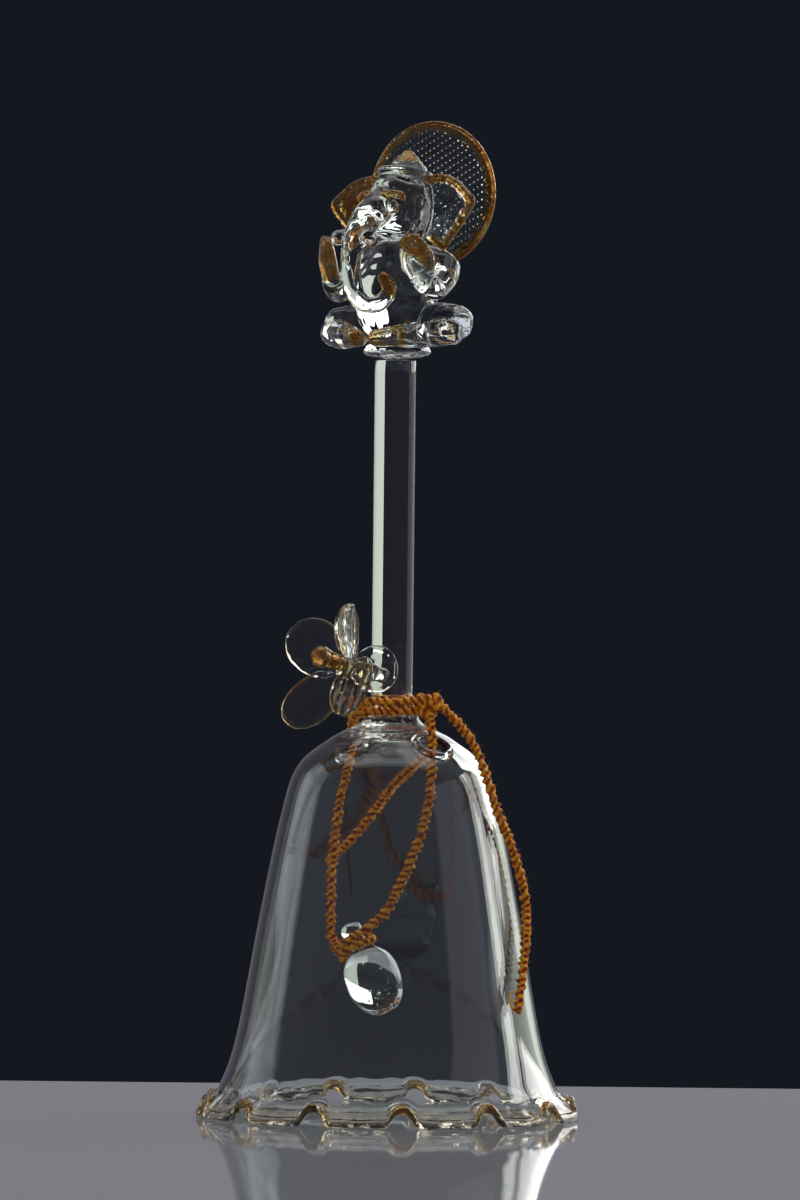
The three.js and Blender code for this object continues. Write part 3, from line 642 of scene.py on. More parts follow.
def knot_path():
    """An overhand knot pulled tight: the trefoil (sin t + 2 sin 2t, cos t - 2 cos 2t, -sin 3t)."""
    t = np.linspace(0, 2 * np.pi, 40)
    across = np.sin(t) + 2 * np.sin(2 * t)
    up = np.cos(t) - 2 * np.cos(2 * t)
    return KNOT_CENTRE + KNOT_SIZE * np.stack([across, -KNOT_DEPTH * np.sin(3 * t), up], -1)


knot = add_rope("cord_knot", knot_path(), lean=(0.1, 1.0, 0.15))
finish_piece(knot, yarn, "bell", ["cord_neck_knot"])
add_cord(
    "cord_round_neck", neck_path, lean=(0.35, 0.35, 0.87), body="bell",
    nodes=["cord_left_bridge", "cord_neck_winding"],
)
add_cord(
    "cord_with_tail", tail_path, lean=(0.62, 0.56, 0.56), body="bell",
    nodes=["cord_right_bridge", "cord_tail"], frays=[gather(TAIL_FRAY, cap=0.2)],
)
add_cord(
    "cord_inside", loop_path, lean=drop_axis, body="clapper",
    nodes=["cord_left_strand", "cord_drop_winding", "cord_right_strand"],
)
add_cord(
    "cord_spare_end", INNER_END, lean=(0.1, 0.2, 0.97), body="bell",
    nodes=["cord_inner_end"],
)

# %% [markdown]
# ## Bell, neck and handle
# The bell is blown, its crown drawn up into a short neck, and the handle is plain rod fused to it, so
# the three are one skin here: no seam shows inside the glass. It is a profile carried round the axis. The
# lip is pressed into thirteen lobes that lift its bead off the table; the hollows between them stand flat.

# %% Bell profile
WALL = 1.25
CROWN_WALL = 1.6
LOBES = 13
LOBE_TURN = np.radians(4.5)
LOBE_LIFT = 2.6
LOBE_FOOT = 0.72
LOBE_SWELL = 0.08
LOBE_TUCK = 0.8
LOBE_COLUMNS = 26
BEAD_RADIUS = 0.8
BEAD_HEIGHT = 0.5
BEAD_TURN = (115, -170)
LIFT_SHARE = 0.8
LIFT_FROM = 28.0
CROWN_EDGE = 12.0
CROWN_FADE = 5.0
MOUTH_RADIUS = 31.95
rod_low, rod_high = node_box("handle_rod")
ROD_RADIUS = (rod_high[0] - rod_low[0]) / 2
OUTER_FACE = [
    (6.6, CROWN_HEIGHT), (10.6, CROWN_HEIGHT - 2.1), (16.0, CROWN_HEIGHT - 6.8),
    (18.8, CROWN_HEIGHT - 15.5), (22.1, 34.5), (26.0, 13.2), (28.9, 4.8), (30.5, 2.7), (31.85, 1.45),
]
NECK_FACE = [(6.6, 0), (5.4, 0.55), (4.6, 1.7), (4.0, 3.8), (ROD_RADIUS, 5.8)]
ROD_END = [(ROD_RADIUS - 0.1, -0.1), (ROD_RADIUS - 0.4, 0), (0.05, 0)]


def bell_profile():
    """Radius, height and share of the lobes' lift along the skin: out along the inner face, round the
    bead as a circle, up the outer face, in along the neck's fillet and up the rod. The inner face is the
    outer one moved in by the wall along its normal."""
    outer = smooth_line(OUTER_FACE, 80)
    along = unit(np.gradient(outer, axis=0))
    normal = np.stack([-along[:, 1], along[:, 0]], -1)
    wall = WALL + (CROWN_WALL - WALL) * ramp(CROWN_EDGE - outer[:, 0], 0, CROWN_FADE)
    inner = outer - wall[:, None] * normal
    inner[:, 0] = np.maximum(inner[:, 0], 0)
    apex = np.stack([np.linspace(0.05, inner[0, 0], 8)[:-1], np.full(7, inner[0, 1])], -1)
    reach = LIFT_SHARE * ramp(outer[:, 0], LIFT_FROM, OUTER_FACE[-1][0])
    turn = np.radians(np.linspace(*BEAD_TURN, 22))
    bead = [MOUTH_RADIUS, BEAD_HEIGHT] + BEAD_RADIUS * np.stack([np.cos(turn), np.sin(turn)], -1)
    neck = smooth_line(NECK_FACE, 16)[1:] + [0, CROWN_HEIGHT]
    rod = np.stack([np.full(24, ROD_RADIUS), np.linspace(neck[-1, 1], rod_high[2] - 0.3, 25)[1:]], -1)
    top = np.array(ROD_END) + [0, rod_high[2]]
    parts = [apex, inner, bead[::-1], outer[::-1], neck, rod, top]
    shares = [np.zeros(len(part)) for part in parts]
    shares[1], shares[2], shares[3] = reach, np.ones(len(bead)), reach[::-1]
    return np.concatenate([np.concatenate(parts), np.concatenate(shares)[:, None]], 1)


def lobe(turn):
    """How far a lobe lifts at a turn, from 0 to 1: with w the wave 0.5 + 0.5 cos(number * turn), a small
    share of w, a gentle sag over all of a hollow, and the rest a smooth step up to a round crest."""
    wave = 0.5 + 0.5 * np.cos(LOBES * (turn - LOBE_TURN))
    return LOBE_SWELL * wave + (1 - LOBE_SWELL) * ramp(wave, LOBE_FOOT, 1)


def bell_rings():
    """The profile carried round the axis; the lobes lift it and tuck it in, and the table stops it."""
    turn = full_turn(LOBES * LOBE_COLUMNS)[None]
    radius, height, share = (column[:, None] for column in bell_profile().T)
    lifted = height + share * LOBE_LIFT * lobe(turn)
    tucked = radius - share * LOBE_TUCK * lobe(turn)
    return ring_point(tucked, turn, np.maximum(lifted, 0.0))


bell = add_mesh("bell_and_handle", [closed_skin(bell_rings())])
print("bell skin:", len(bell.data.vertices), "points")

# %% [markdown]
# The two cord holes are blown through the shoulder, and the flame draws the glass at their edge back into
# a thick round ring. A plain cut and a fused ring give the same edge.

# %% Cord holes
HOLE_TURN = np.radians(37.5)
HOLE_PLACE = np.array([11.7, 63.7])
HOLE_RADIUS = 3.1
HOLE_RING = 0.75
HOLE_NORMAL = unit(np.array([0.5, 0.87]))
RING_SINK = 0.4 * WALL
CUT_REACH = 4.0


def hole_rings(turn, radius, height):
    """Rings square to the wall at a cord hole: radius and height over the middle of the wall, given at
    each ring, are carried round the hole's own axis."""
    turn = np.array([turn])
    way = ring_point(np.array([HOLE_NORMAL[0]]), turn, HOLE_NORMAL[1])[0]
    middle = ring_point(np.array([HOLE_PLACE[0]]), turn, HOLE_PLACE[1])[0] - RING_SINK * way
    side = unit(np.cross(way, [0.0, 0, 1]))
    rise = np.cross(way, side)
    around = full_turn(48)[:, None]
    spread = np.cos(around) * side + np.sin(around) * rise
    return middle + height[:, None, None] * way + radius[:, None, None] * spread


def hole_cutter(turn):
    """A plain cylinder through the wall."""
    return closed_skin(hole_rings(turn, np.full(2, HOLE_RADIUS), np.array([-CUT_REACH, CUT_REACH])))


def hole_ring(turn):
    """A ring of round section at the edge of the hole: R + r cos p out and r sin p up, closed on itself."""
    p = full_turn(24)
    rings = hole_rings(turn, HOLE_RADIUS + HOLE_RING * np.cos(p), HOLE_RING * np.sin(p))
    rows, columns, _ = rings.shape
    i, j = np.meshgrid(np.arange(rows), np.arange(columns), indexing="ij")
    corners = [(i, j), (i, j + 1), (i + 1, j + 1), (i + 1, j)]
    faces = np.stack([(a % rows) * columns + b % columns for a, b in corners], -1).reshape(-1, 4)
    return rings.reshape(-1, 3), faces


def apply_modifiers(piece):
    """Keeps what a piece's modifiers make of it as its own mesh."""
    shaped = bpy.data.meshes.new_from_object(piece.evaluated_get(bpy.context.evaluated_depsgraph_get()))
    piece.modifiers.clear()
    piece.data = shaped
    shaped.shade_smooth()


for kind, skin in (("DIFFERENCE", hole_cutter), ("UNION", hole_ring)):
    tool = add_mesh("hole_tool", [skin(HOLE_TURN), skin(HOLE_TURN + np.pi)])
    change = bell.modifiers.new("holes", "BOOLEAN")
    change.object = tool
    change.operation = kind
    change.solver = "EXACT"
    apply_modifiers(bell)
    bpy.data.objects.remove(tool)
bell.data.set_sharp_from_angle(angle=np.radians(40))
print("holes:", 2 * HOLE_RADIUS, "mm across, ringed")

# %% [markdown]
# The lip and the neck were worked by hand in the flame, so both are uneven. The neck is left hazy, and the
# amber lies mostly on the crests of the lobes.

# %% Worked edges
CREST_AMBER = 0.8
HOLLOW_AMBER = 0.3
# Radii, and heights over the crown, between which the working and the stain fade in or out.
LIP_UNEVEN = (28.5, 31.0)
LIP_STAINED = (29.4, 31.4)
NECK_FOOT = (-0.9, -0.2)
NECK_HEAD = (2.5, 4.0)

place = points_of(bell)
outwards = np.hypot(place[:, 0], place[:, 1])
over_crown = place[:, 2] - CROWN_HEIGHT
neck = ramp(over_crown, *NECK_FOOT) * (1 - ramp(over_crown, *NECK_HEAD))
lumpy(bell, size=0.06, wave=4.0, share=ramp(outwards, *LIP_UNEVEN))
lumpy(bell, size=0.05, wave=1.6, share=neck)
crest = lobe(np.arctan2(place[:, 0], -place[:, 1]))
lip_amber = HOLLOW_AMBER + (CREST_AMBER - HOLLOW_AMBER) * crest
write_points(bell, "amber", lip_amber * ramp(outwards, *LIP_STAINED))
write_points(bell, "haze", neck)
finish_piece(bell, glass, "bell", ["bell_shell", "neck_collar", "handle_rod"])

# %% [markdown]
# ## The seated figure
# The figure is built from gathers that melt into each other. Left as separate skins, each join would
# show as a bright inner wall, so all of them are fused by a fine voxel remesh and smoothed, as the flame
# does. The amber lies where the lampworker touched it on: hands, feet, brows, ear rims, crown, trunk tip.

# %% Figure stations
FIGURE_TURN = np.radians(-38)
FIGURE_FOOT = rod_high[2] + SOLID_GAP
# Each station is x, y, z, half width and, where the section is an oval, half depth.
SEAT = [(0.2, 0.2, 1.0, 5.9), (0.2, 0.2, 2.0, 5.4)]
TORSO = [(0, 0.8, 4.0, 5.0, 4.8), (0, -0.2, 7.6, 6.6, 6.2), (0, -0.6, 11.5, 6.9, 6.5),
         (0, 0.2, 16.0, 5.8, 5.0), (0, 0.6, 18.8, 4.4, 4.0)]
HEAD = [(0, -0.6, 20.8, 4.9, 4.9), (0, 0.6, 25.4, 5.9, 6.0), (0, 2.2, 29.4, 5.1, 5.1)]
TRUNK = [(0, -2.5, 27.0, 2.7), (0, -6.9, 24.6, 2.7), (0, -10.6, 21.0, 2.3), (0, -12.4, 16.8, 1.9),
         (0.1, -12.4, 12.8, 1.7), (1.4, -12.0, 9.6, 1.6), (3.8, -11.5, 8.6, 1.5), (6.2, -11.0, 9.6, 1.4),
         (7.0, -10.8, 11.4, 1.3), (5.8, -10.8, 13.2, 1.1)]
THIGH = [(4.0, 1.6, 5.8, 2.9), (8.4, 1.2, 6.3, 3.2), (13.0, 0.6, 6.0, 2.9)]
SHIN = [(13.0, -0.6, 4.6, 2.4), (9.0, -3.4, 3.9, 2.3), (5.2, -6.0, 3.6, 2.0)]
FOOT = [(5.4, -6.8, 3.6, 1.8, 2.4), (1.9, -8.0, 3.2, 1.5, 1.9)]
CREASE = [(5.6, -3.6, 5.9, 0.5), (8.4, -2.6, 5.7, 0.55), (12.0, -2.3, 5.6, 0.5)]
ARM = [(4.4, 0.8, 17.8, 2.0), (9.6, 1.8, 15.6, 2.1), (10.4, -2.2, 11.8, 2.1), (9.8, -5.2, 12.9, 1.9)]
HAND = [(9.8, -5.4, 13.1, 2.0, 1.5), (9.6, -6.7, 16.4, 3.1, 1.4), (9.0, -8.0, 19.8, 1.8, 1.0)]
HAND_STAIN = [(10.4, -5.6, 15.4, 0.9), (10.2, -6.4, 17.6, 1.4), (9.0, -8.0, 19.8, 1.6)]
EAR = [(4.6, 2.4, 25.6, 4.9, 0.45), (7.4, 2.4, 25.2, 5.8, 0.42), (10.8, 2.0, 25.6, 4.5, 0.42),
       (14.3, 1.5, 26.3, 1.5, 0.42)]
EAR_RIM = [(4.6, 2.4, 30.4, 0.6), (7.2, 2.4, 31.0, 0.6), (10.8, 2.0, 30.1, 0.6), (13.6, 1.7, 28.0, 0.6),
           (14.9, 1.5, 26.3, 0.65), (12.6, 1.8, 23.4, 0.6), (10.0, 2.1, 20.7, 0.6), (8.2, 2.3, 19.0, 0.6),
           (6.0, 2.4, 20.2, 0.55)]
EAR_FILL = [(8.0, 2.4, 27.6, 1.9), (11.2, 2.0, 26.6, 2.0), (8.8, 2.3, 23.4, 1.9)]
TUSK = [(1.8, -10.2, 20.9, 1.0), (3.4, -12.0, 20.1, 1.4)]
EYE = [(2.6, -4.8, 25.7, 1.15), (2.8, -5.2, 25.7, 1.15)]
BROW = [(1.2, -5.4, 27.4, 0.5), (2.6, -5.2, 28.0, 0.6), (4.2, -4.4, 27.7, 0.6), (4.7, -4.3, 26.9, 0.5)]
CROWN_BRIM = [(0, 2.4, 30.9, 5.2), (0, 2.6, 31.7, 5.1)]
CROWN_CONE = [(0, 2.7, 32.2, 3.7), (0, 2.8, 34.0, 2.2), (0, 2.9, 35.3, 0.9)]
HALO_STRUT = [(1.0, 8.5, 15.2, 0.65), (1.6, 8.2, 9.0, 0.65), (1.2, 5.4, 2.2, 0.65)]
print(f"figure: from {FIGURE_FOOT:.1f} mm up, turned by {np.degrees(FIGURE_TURN):.0f} degrees")

# %% [markdown]
# The stations above are those of the middle and of one side; the other side is its mirror image. Each
# gather has a direction that its width follows and a length for its rounded ends.

# %% Figure
VOXEL = 0.24
AMBER_FADE = 0.7
ACROSS, BACK, UP = (1, 0, 0), (0, 1, 0), (0, 0, 1)


def mirrored(stations):
    """The same stations on the other side of the figure."""
    return [(-s[0], *s[1:]) for s in stations]


def placed(points):
    """Points of the figure's own frame, turned about the rod and set on it."""
    c, s = np.cos(FIGURE_TURN), np.sin(FIGURE_TURN)
    turn = np.array([[c, -s, 0], [s, c, 0], [0, 0, 1]])
    return points @ turn.T + np.array([0, 0, FIGURE_FOOT])


OPEN_PALM = (0.79, 0.61, 0)
limbs = [
    (THIGH, BACK, 2.2), (SHIN, UP, 1.6), (FOOT, UP, 1.2), (ARM, UP, 1.4), (HAND, OPEN_PALM, 0.9),
    (EAR, UP, 0.7), (EAR_RIM, BACK, 0.5), (TUSK, UP, 1.1), (EYE, ACROSS, 1.1), (BROW, UP, 0.5),
]
middle = [
    (SEAT, ACROSS, 1.0), (TORSO, ACROSS, 1.0), (HEAD, ACROSS, 1.2), (TRUNK, ACROSS, 1.2),
    (CROWN_BRIM, ACROSS, 0.4), (CROWN_CONE, ACROSS, 0.5), (HALO_STRUT, ACROSS, 0.4),
]
both = limbs + [(mirrored(stations), mirrored([side])[0], cap) for stations, side, cap in limbs]
skins = [gather(stations, side, cap) for stations, side, cap in middle + both]
figure = add_mesh("seated_figure", [(placed(points), faces) for points, faces in skins])
fuse = figure.modifiers.new("fuse", "REMESH")
fuse.mode = "VOXEL"
fuse.voxel_size = VOXEL * MM
melt = figure.modifiers.new("melt", "SMOOTH")
melt.factor = 0.5
melt.iterations = 8
apply_modifiers(figure)


def near_lines(points, lines, fade):
    """1 inside any of the lines' own widths and 0 past them by the fade: the ramp of width minus distance,
    the largest over the points of all the lines."""
    samples = np.concatenate([smooth_line([s[:4] for s in stations], 20) for stations in lines])
    centre, width = placed(samples[:, :3]), samples[:, 3]
    distance = np.sqrt(
        np.maximum((points**2).sum(1)[:, None] + (centre**2).sum(1) - 2 * points @ centre.T, 0)
    )
    return ramp(width + fade - distance, 0, fade).max(1)


lumpy(figure, size=0.028, wave=3.2)
one_side = [FOOT, HAND_STAIN, EAR_RIM, BROW, CREASE]
amber_lines = one_side + [mirrored(stations) for stations in one_side]
amber_lines += [CROWN_CONE[1:], TRUNK[-2:], mirrored(EAR_FILL), mirrored(HAND[1:])]
write_points(figure, "amber", near_lines(points_of(figure), amber_lines, AMBER_FADE))
limb_nodes = ("leg", "foot", "tusk", "eye", "brow", "ear", "arm", "hand")
figure_nodes = [f"figure_{hand}_{limb}" for hand in ("right", "left") for limb in limb_nodes]
figure_nodes += ["figure_seat", "figure_torso", "figure_head", "figure_trunk"]
figure_nodes += ["crown_brim", "crown_cone", "halo_strut"]
finish_piece(figure, glass, "bell", figure_nodes)

# %% [markdown]
# ## The halo
# The halo is a disc pressed on a ribbed plate: slanting rows of small beads on its front, a stained
# border and a thick amber rim. The beads are real bumps on a fine polar grid, because each of them
# catches the light by itself.

# %% Halo
HALO_CENTRE = np.array([1.0, 8.6, 28.4])
HALO_RADIUS = 12.6
HALO_RIM = 0.42
HALO_TURN = np.radians(6)
ROW_SLANT = np.radians(27)
ROW_SPACING = 1.12
ROW_WIDTH = 0.2
BEAD_SPACING = 0.9
BEAD_SHIFT = 0.37
BEAD_RISE = 0.2
BEAD_LOW = 0.45
HALF_THICKNESS = 0.5
FRONT_RINGS = 90
# Distances from the edge, and radii, between which the beads and the stain fade in.
PLAIN_BORDER = (0.5, 1.4)
BORDER_STAIN = (10.2, 11.2)
RIM_STAIN = (11.3, 11.7)


def on_halo(across, depth, up):
    """Points of the halo's own disc, across, forward and up from its middle, in the bell's frame."""
    c, s = np.cos(HALO_TURN), np.sin(HALO_TURN)
    points = np.stack([c * across + s * depth, s * across - c * depth, up], -1)
    return placed((points + HALO_CENTRE).reshape(-1, 3)).reshape(points.shape)


def halo_disc():
    """A disc 1 mm thick. Its front stands out by the product of a round ridge across each slanting row
    and a wave along it, and falls away towards the border."""
    edge = HALO_RADIUS - HALO_RIM
    turn = full_turn(320)[None]
    out = np.linspace(0.05, edge - 0.2, FRONT_RINGS)
    radius = np.concatenate([out, np.linspace(edge - 0.2, 0.05, 12)])[:, None]
    across, up = radius * np.cos(turn), radius * np.sin(turn)
    over = (up * np.cos(ROW_SLANT) - across * np.sin(ROW_SLANT)) / ROW_SPACING
    along = (up * np.sin(ROW_SLANT) + across * np.cos(ROW_SLANT)) / BEAD_SPACING
    ridge = np.exp(-(((over - np.round(over)) / ROW_WIDTH) ** 2))
    wave = 0.5 + 0.5 * np.cos(2 * np.pi * (along + BEAD_SHIFT * np.round(over)))
    bead = BEAD_LOW + (1 - BEAD_LOW) * wave
    bump = BEAD_RISE * ridge * bead * ramp(edge - radius, *PLAIN_BORDER)
    front = np.arange(len(radius))[:, None] < FRONT_RINGS
    return closed_skin(on_halo(across, np.where(front, HALF_THICKNESS + bump, -HALF_THICKNESS), up))


def halo_rim():
    """A ring of round section: at the turn t of the ring and p of the section, the point is
    (R + r cos p) cos t across, r sin p forward and (R + r cos p) sin t up."""
    t = np.linspace(0, 2 * np.pi, 160)[:, None]
    p = full_turn(20)[None]
    ring = HALO_RADIUS - HALO_RIM + HALO_RIM * np.cos(p)
    return closed_skin(on_halo(ring * np.cos(t), HALO_RIM * np.sin(p) + 0 * t, ring * np.sin(t)))


halo = add_mesh("halo", [halo_disc(), halo_rim()])
from_middle = np.linalg.norm(points_of(halo) - placed(HALO_CENTRE[None]), axis=1)
write_points(halo, "amber", 0.5 * ramp(from_middle, *BORDER_STAIN) + 0.5 * ramp(from_middle, *RIM_STAIN))
finish_piece(halo, glass, "bell", ["halo_disc", "halo_rim"])

# %% [markdown]
# ## The flower
# Five petals are pressed flat from small gathers and set on a short stem at the foot of the rod. A petal
# is a thin disc with a full edge, so its section is nearer a box than an oval, and amber lies in its edge.

# %% Flower
PETAL_THICKNESS = 1.4
PETAL_WIDEST = 0.54
PETAL_SIDES = 96
RIB_DEPTH = 0.5
HOLLOW = 0.4
FULL_EDGE = (0.6, 0.95)
TIP_EDGE = (0.8, 1.0)
STAINED_EDGE = (0.72, 1.0)
STAINED_LENGTH = (0.1, 0.4)
END_STAIN = (0, 0.8)
STEM = [(-1.4, -1.2, 8.9, 1.3), (-6.6, -4.2, 9.9, 1.5)]
HUB = [(-7.5, -4.5, 9.9, 2.0), (-8.2, -5.2, 10.1, 1.9)]
STAMEN = [(-9.0, -6.0, 10.8, 1.3), (-11.0, -7.4, 11.6, 1.6), (-12.2, -8.2, 12.0, 1.9)]
# Base, tip, direction across, half width, hollow of the middle and number of ribs.
PETALS = {
    "left": ((-8.6, -4.8, 9.7), (-17.1, -3.4, 16.9), (0.66, 0, 0.75), 4.8, -0.5, 0),
    "top": ((-7.2, -4.2, 11.0), (-7.4, -3.0, 21.0), (0.44, 0.9, 0), 4.2, 0.6, 2),
    "right": ((-6.8, -5.0, 10.0), (1.0, -5.8, 9.7), (0, 0.1, 1), 4.1, 0.4, 0),
    "front": ((-4.7, -6.1, 12.0), (-8.6, -9.2, 2.0), (0.75, -0.55, 0.1), 4.1, 0.5, 5),
    "low": ((-9.2, -5.0, 8.7), (-18.0, -5.6, 0.6), (0.66, -0.3, -0.75), 4.0, -0.5, 0),
}
PETAL_AMBER = (0.35, 0.4, 0.15, 0.5, 0.8)
STALKS = ((STEM, 0.6), (HUB, 1.4), (STAMEN, 1.6))
STALK_AMBER = (0.1, 0.2, 0.9)
above_crown = np.array([0, 0, CROWN_HEIGHT])


def fuller(wave):
    """A wave made squarer: its size to the power 2/3, with its sign kept."""
    return np.sign(wave) * np.abs(wave) ** (2 / 3)


def petal(base, tip, side, width, cup, ribs):
    """A blade from base to tip. Its half width is that of two half ellipses that meet at the widest
    place, its middle hollows by cup * sin(pi u), and its section is the superellipse of power 3, thinner
    inside a full edge. A ribbed petal thins by sin²(ribs * pi / 2 * distance across / width)."""
    u = (1 - np.cos(np.linspace(0.02, 0.985, 44) * np.pi)) / 2
    base, way = np.array(base, float), np.array(tip, float) - np.array(base, float)
    along = unit(way)
    flat = unit(np.array(side, float) - np.dot(side, along) * along)
    face = np.cross(along, flat)
    end = np.where(u < PETAL_WIDEST, PETAL_WIDEST, 1 - PETAL_WIDEST)
    half = width * np.sqrt(np.maximum(1 - ((u - PETAL_WIDEST) / end) ** 2, 0))
    turn = full_turn(PETAL_SIDES)[None]
    wide = half[:, None] * fuller(np.cos(turn))
    thin = np.minimum(0.5 * PETAL_THICKNESS, 0.6 * half)[:, None] * fuller(np.sin(turn))
    rib = np.sin(ribs * np.pi / 2 * wide / width) ** 2
    edge = np.maximum(np.abs(wide) / np.maximum(half[:, None], 0.4), ramp(u, *TIP_EDGE)[:, None])
    thin = thin * (1 - HOLLOW * (1 - ramp(edge, *FULL_EDGE))) * (1 - RIB_DEPTH * rib)
    line = above_crown + base + u[:, None] * way + (cup * np.sin(np.pi * u))[:, None] * face
    rings = line[:, None] + wide[..., None] * flat + thin[..., None] * face
    amber = np.maximum(ramp(edge, *STAINED_EDGE) * ramp(u, *STAINED_LENGTH)[:, None], rib)
    return closed_skin(rings), np.concatenate([amber.ravel(), END_STAIN])


def lifted(stations):
    """Stations whose heights are above the crown."""
    return [(x, y, z + CROWN_HEIGHT, *width) for x, y, z, *width in stations]


blades = [petal(*values) for values in PETALS.values()]
stalks = [gather(lifted(stations), UP, cap) for stations, cap in STALKS]
flower = add_mesh("flower", [skin for skin, _ in blades] + stalks)
lumpy(flower, size=0.03, wave=2.2)
amber = [amount * edge for amount, (_, edge) in zip(PETAL_AMBER, blades)]
amber += [np.full(len(points), amount) for amount, (points, _) in zip(STALK_AMBER, stalks)]
write_points(flower, "amber", np.concatenate(amber))
flower_nodes = [f"flower_petal_{name}" for name in PETALS]
flower_nodes += ["flower_stem", "flower_hub", "flower_stamen"]
finish_piece(flower, glass, "bell", flower_nodes)

# %% [markdown]
# ## The clapper
# The drop is a solid gather with a nipped neck for the cord, and small bubbles were caught in it. A
# bubble is a hole, so its skin looks inwards, towards the air in it.

# %% Drop
BUBBLES = 34
BUBBLE_HEIGHTS = (2.0, 9.0)
BUBBLE_LEAST = 0.05
BUBBLE_SPREAD = 0.2
BUBBLE_AWAY = (0.2, 0.75)
BUBBLE_TURNS = (0, 6.28)


def on_drop(radius, turn, height):
    """Points at a distance and a turn round the drop's axis, and a height along it."""
    left = (radius * np.cos(turn))[..., None] * drop_left
    front = (radius * np.sin(turn))[..., None] * drop_front
    return DROP_LOW + left + front + height[..., None] * drop_axis


def drop_skin():
    """The drop's profile carried round its axis."""
    profile = smooth_line(DROP_PROFILE, 90)[1:-1]
    turn = full_turn(64)[None]
    radius = np.maximum(profile[:, :1], 0.04) + 0 * turn
    return closed_skin(on_drop(radius, turn + 0 * radius, profile[:, 1:] + 0 * turn))


def bubble(height, turn, away, size):
    """A small sphere inside the drop, with its faces turned towards its own middle."""
    middle = on_drop(np.array(away), np.array(turn), np.array(height))
    lat = np.linspace(0.04, 0.96, 9)[:, None] * np.pi
    lon = full_turn(12)[None]
    ball = np.stack([np.sin(lat) * np.cos(lon), np.sin(lat) * np.sin(lon), np.cos(lat) + 0 * lon], -1)
    points, faces = closed_skin(middle + size * ball)
    return points, faces[:, [1, 0, 3, 2]]


heights = draws.uniform(*BUBBLE_HEIGHTS, BUBBLES)
sizes = BUBBLE_LEAST + BUBBLE_SPREAD * draws.uniform(0, 1, BUBBLES) ** 4
room = np.interp(heights, DROP_PROFILE[:, 1], DROP_PROFILE[:, 0])
aways = draws.uniform(*BUBBLE_AWAY, BUBBLES) * room
turns = draws.uniform(*BUBBLE_TURNS, BUBBLES)
bubbles = [bubble(*values) for values in zip(heights, turns, aways, sizes)]
drop = add_mesh("clapper_drop_glass", [drop_skin()] + bubbles)
lumpy(drop, size=0.04, wave=4.0)
finish_piece(drop, glass, "clapper", ["clapper_drop"])

# %% [markdown]
# ## The studio
# The bell stands on a plain pale shelf, a little polished, so that its lip is mirrored. The shelf ends
# behind the bell, and the ground shows over it.

# %% Floor
FLOOR_BACK = 85.0
FLOOR_FRONT = -560.0
FLOOR_HALF_WIDTH = 450.0
FLOOR_THICKNESS = 20.0
FLOOR_GAP = 0.08


def add_floor():
    """A pale shelf: a box with its top just under the bell's foot."""
    low = np.array([-FLOOR_HALF_WIDTH, FLOOR_FRONT, -FLOOR_THICKNESS])
    high = np.array([FLOOR_HALF_WIDTH, FLOOR_BACK, -FLOOR_GAP])
    corners = np.array([(0, 0), (1, 0), (1, 1), (0, 1)])
    rings = np.stack([np.concatenate([corners, np.full((4, 1), k)], 1) for k in (0, 1)])
    floor = add_mesh("floor", [closed_skin(low + rings * (high - low))])
    floor.data.shade_flat()
    material, tree = new_material("pale_polished_shelf")
    polish = {"Base Color": linear("#A8AAAE"), "Roughness": 0.04}
    pale = add_node(tree, "BsdfPrincipled", values=polish)
    add_node(tree, "OutputMaterial", {"Surface": pale.outputs[0]})
    floor.data.materials.append(material)


add_floor()
print(f"floor: {2 * FLOOR_HALF_WIDTH:.0f} mm wide")

# %% [markdown]
# Clear glass shows only what it bends into view, so it is lit as in the photograph: two tall bright panes
# and a low pale wall at the right and behind, a dim room nearer at the right, a dimmer window at the left,
# and soft light behind and above.

# %% Lamps
AIM = Vector((0, 0, 0.09))


def add_window(name, turn, distance, height, width, tall, radiance, colour):
    """A soft rectangular lamp at a turn from the camera's side towards the right, facing the bell. Its
    power is pi times its radiance times its area."""
    lamp = bpy.data.lights.new(name, "AREA")
    lamp.shape = "RECTANGLE"
    lamp.size, lamp.size_y = width, tall
    lamp.energy = np.pi * radiance * width * tall
    lamp.color = linear(colour)[:3]
    window = bpy.data.objects.new(name, lamp)
    turn = np.radians(turn)
    window.location = (distance * np.sin(turn), -distance * np.cos(turn), height)
    window.rotation_euler = (AIM - window.location).to_track_quat("-Z", "Y").to_euler()
    window.visible_camera = False
    scene.collection.objects.link(window)


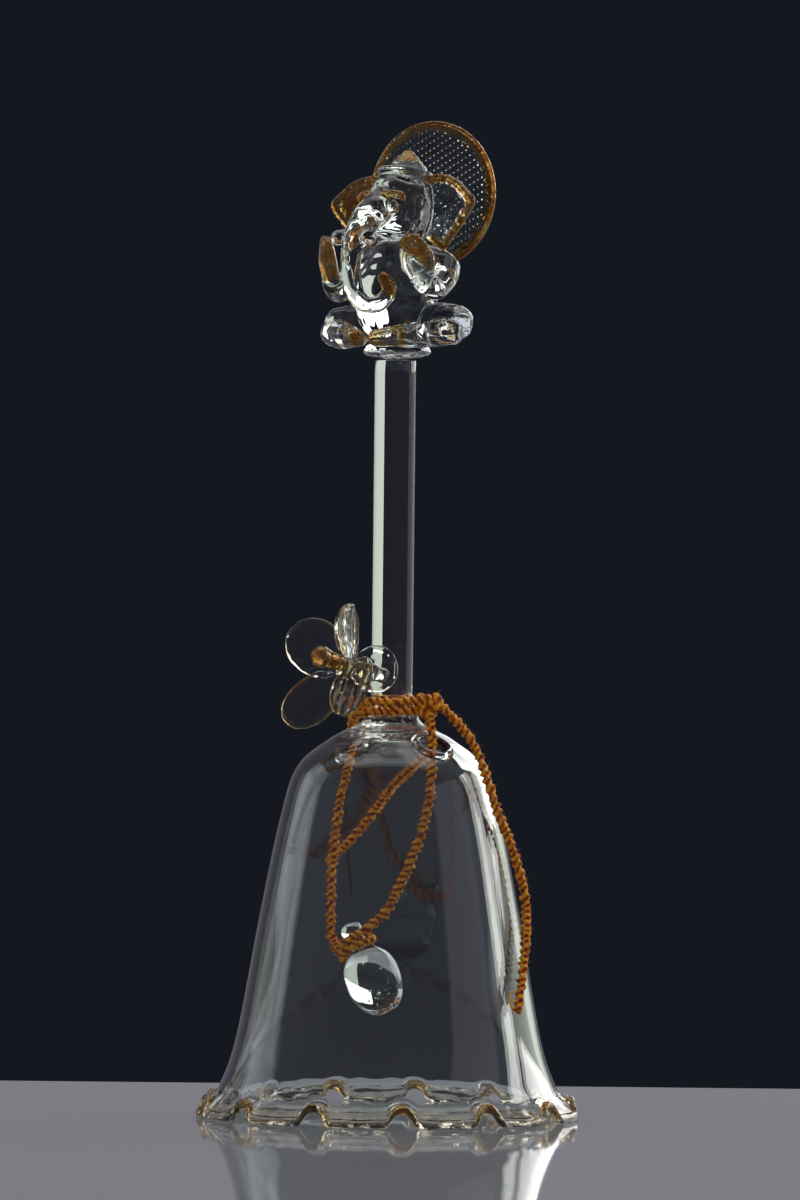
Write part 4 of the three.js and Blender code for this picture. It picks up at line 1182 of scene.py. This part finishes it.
# Turn in degrees, then distance, height, width and tallness in metres, radiance and colour.
LAMPS = {
    "near_pane_right": (109, 1.6, 0.62, 0.34, 0.75, 4.3, "#FFFEFA"),
    "far_pane_right": (133, 1.6, 0.62, 0.74, 0.75, 3.2, "#FFFEFA"),
    "room_right": (72, 1.5, 0.62, 1.1, 0.7, 0.4, "#ECE8FF"),
    "wall_right": (123, 1.5, -0.08, 2.26, 0.85, 0.75, "#F4FAEC"),
    "window_left": (-112, 1.6, 0.72, 0.9, 0.95, 0.8, "#E6EEFF"),
    "light_behind": (160, 1.6, 0.56, 0.8, 0.64, 2.2, "#FFFFFF"),
    "light_above": (180, 0.25, 1.2, 1.4, 1.0, 1.0, "#FFFFFF"),
}
for name, values in LAMPS.items():
    add_window(name, *values)
print("lamps:", len(LAMPS))

# %% [markdown]
# The ground behind is dark. Glass that mirrors the room in front must not mirror black, so reflected rays
# meet a dim room, and the yarn and the floor get a little soft light from all round.

# %% World
DARK_GROUND = "#15181F"
DIM_ROOM = "#76727C"
SOFT_LIGHT = "#E8EAEE"
SOFT_STRENGTH = 0.35
BOUNCES = 28


def add_world():
    """Rays that show the ground, from the camera or through the glass, see it dark; reflected rays meet a
    dim room, and the rest soft light."""
    world = bpy.data.worlds.new("studio")
    world.use_nodes = True
    tree = world.node_tree
    tree.nodes.clear()
    rays = add_node(tree, "LightPath").outputs
    ground_rays = {0: rays["Is Camera Ray"], 1: rays["Is Transmission Ray"]}
    shown = add_node(tree, "Math", ground_rays, operation="MAXIMUM")
    soft_light = {"Color": linear(SOFT_LIGHT), "Strength": SOFT_STRENGTH}
    soft = add_node(tree, "Background", values=soft_light)
    room = add_node(tree, "Background", values={"Color": linear(DIM_ROOM)})
    dark = add_node(tree, "Background", values={"Color": linear(DARK_GROUND)})
    unseen = {0: rays["Is Glossy Ray"], 1: soft.outputs[0], 2: room.outputs[0]}
    around = add_node(tree, "MixShader", unseen)
    seen = {0: shown.outputs[0], 1: around.outputs[0], 2: dark.outputs[0]}
    mixed = add_node(tree, "MixShader", seen)
    add_node(tree, "OutputWorld", {"Surface": mixed.outputs[0]})
    scene.world = world


add_world()
scene.view_settings.view_transform = "Standard"
scene.cycles.max_bounces = BOUNCES
scene.cycles.transmission_bounces = BOUNCES
scene.cycles.transparent_max_bounces = BOUNCES
print("ground:", DARK_GROUND)
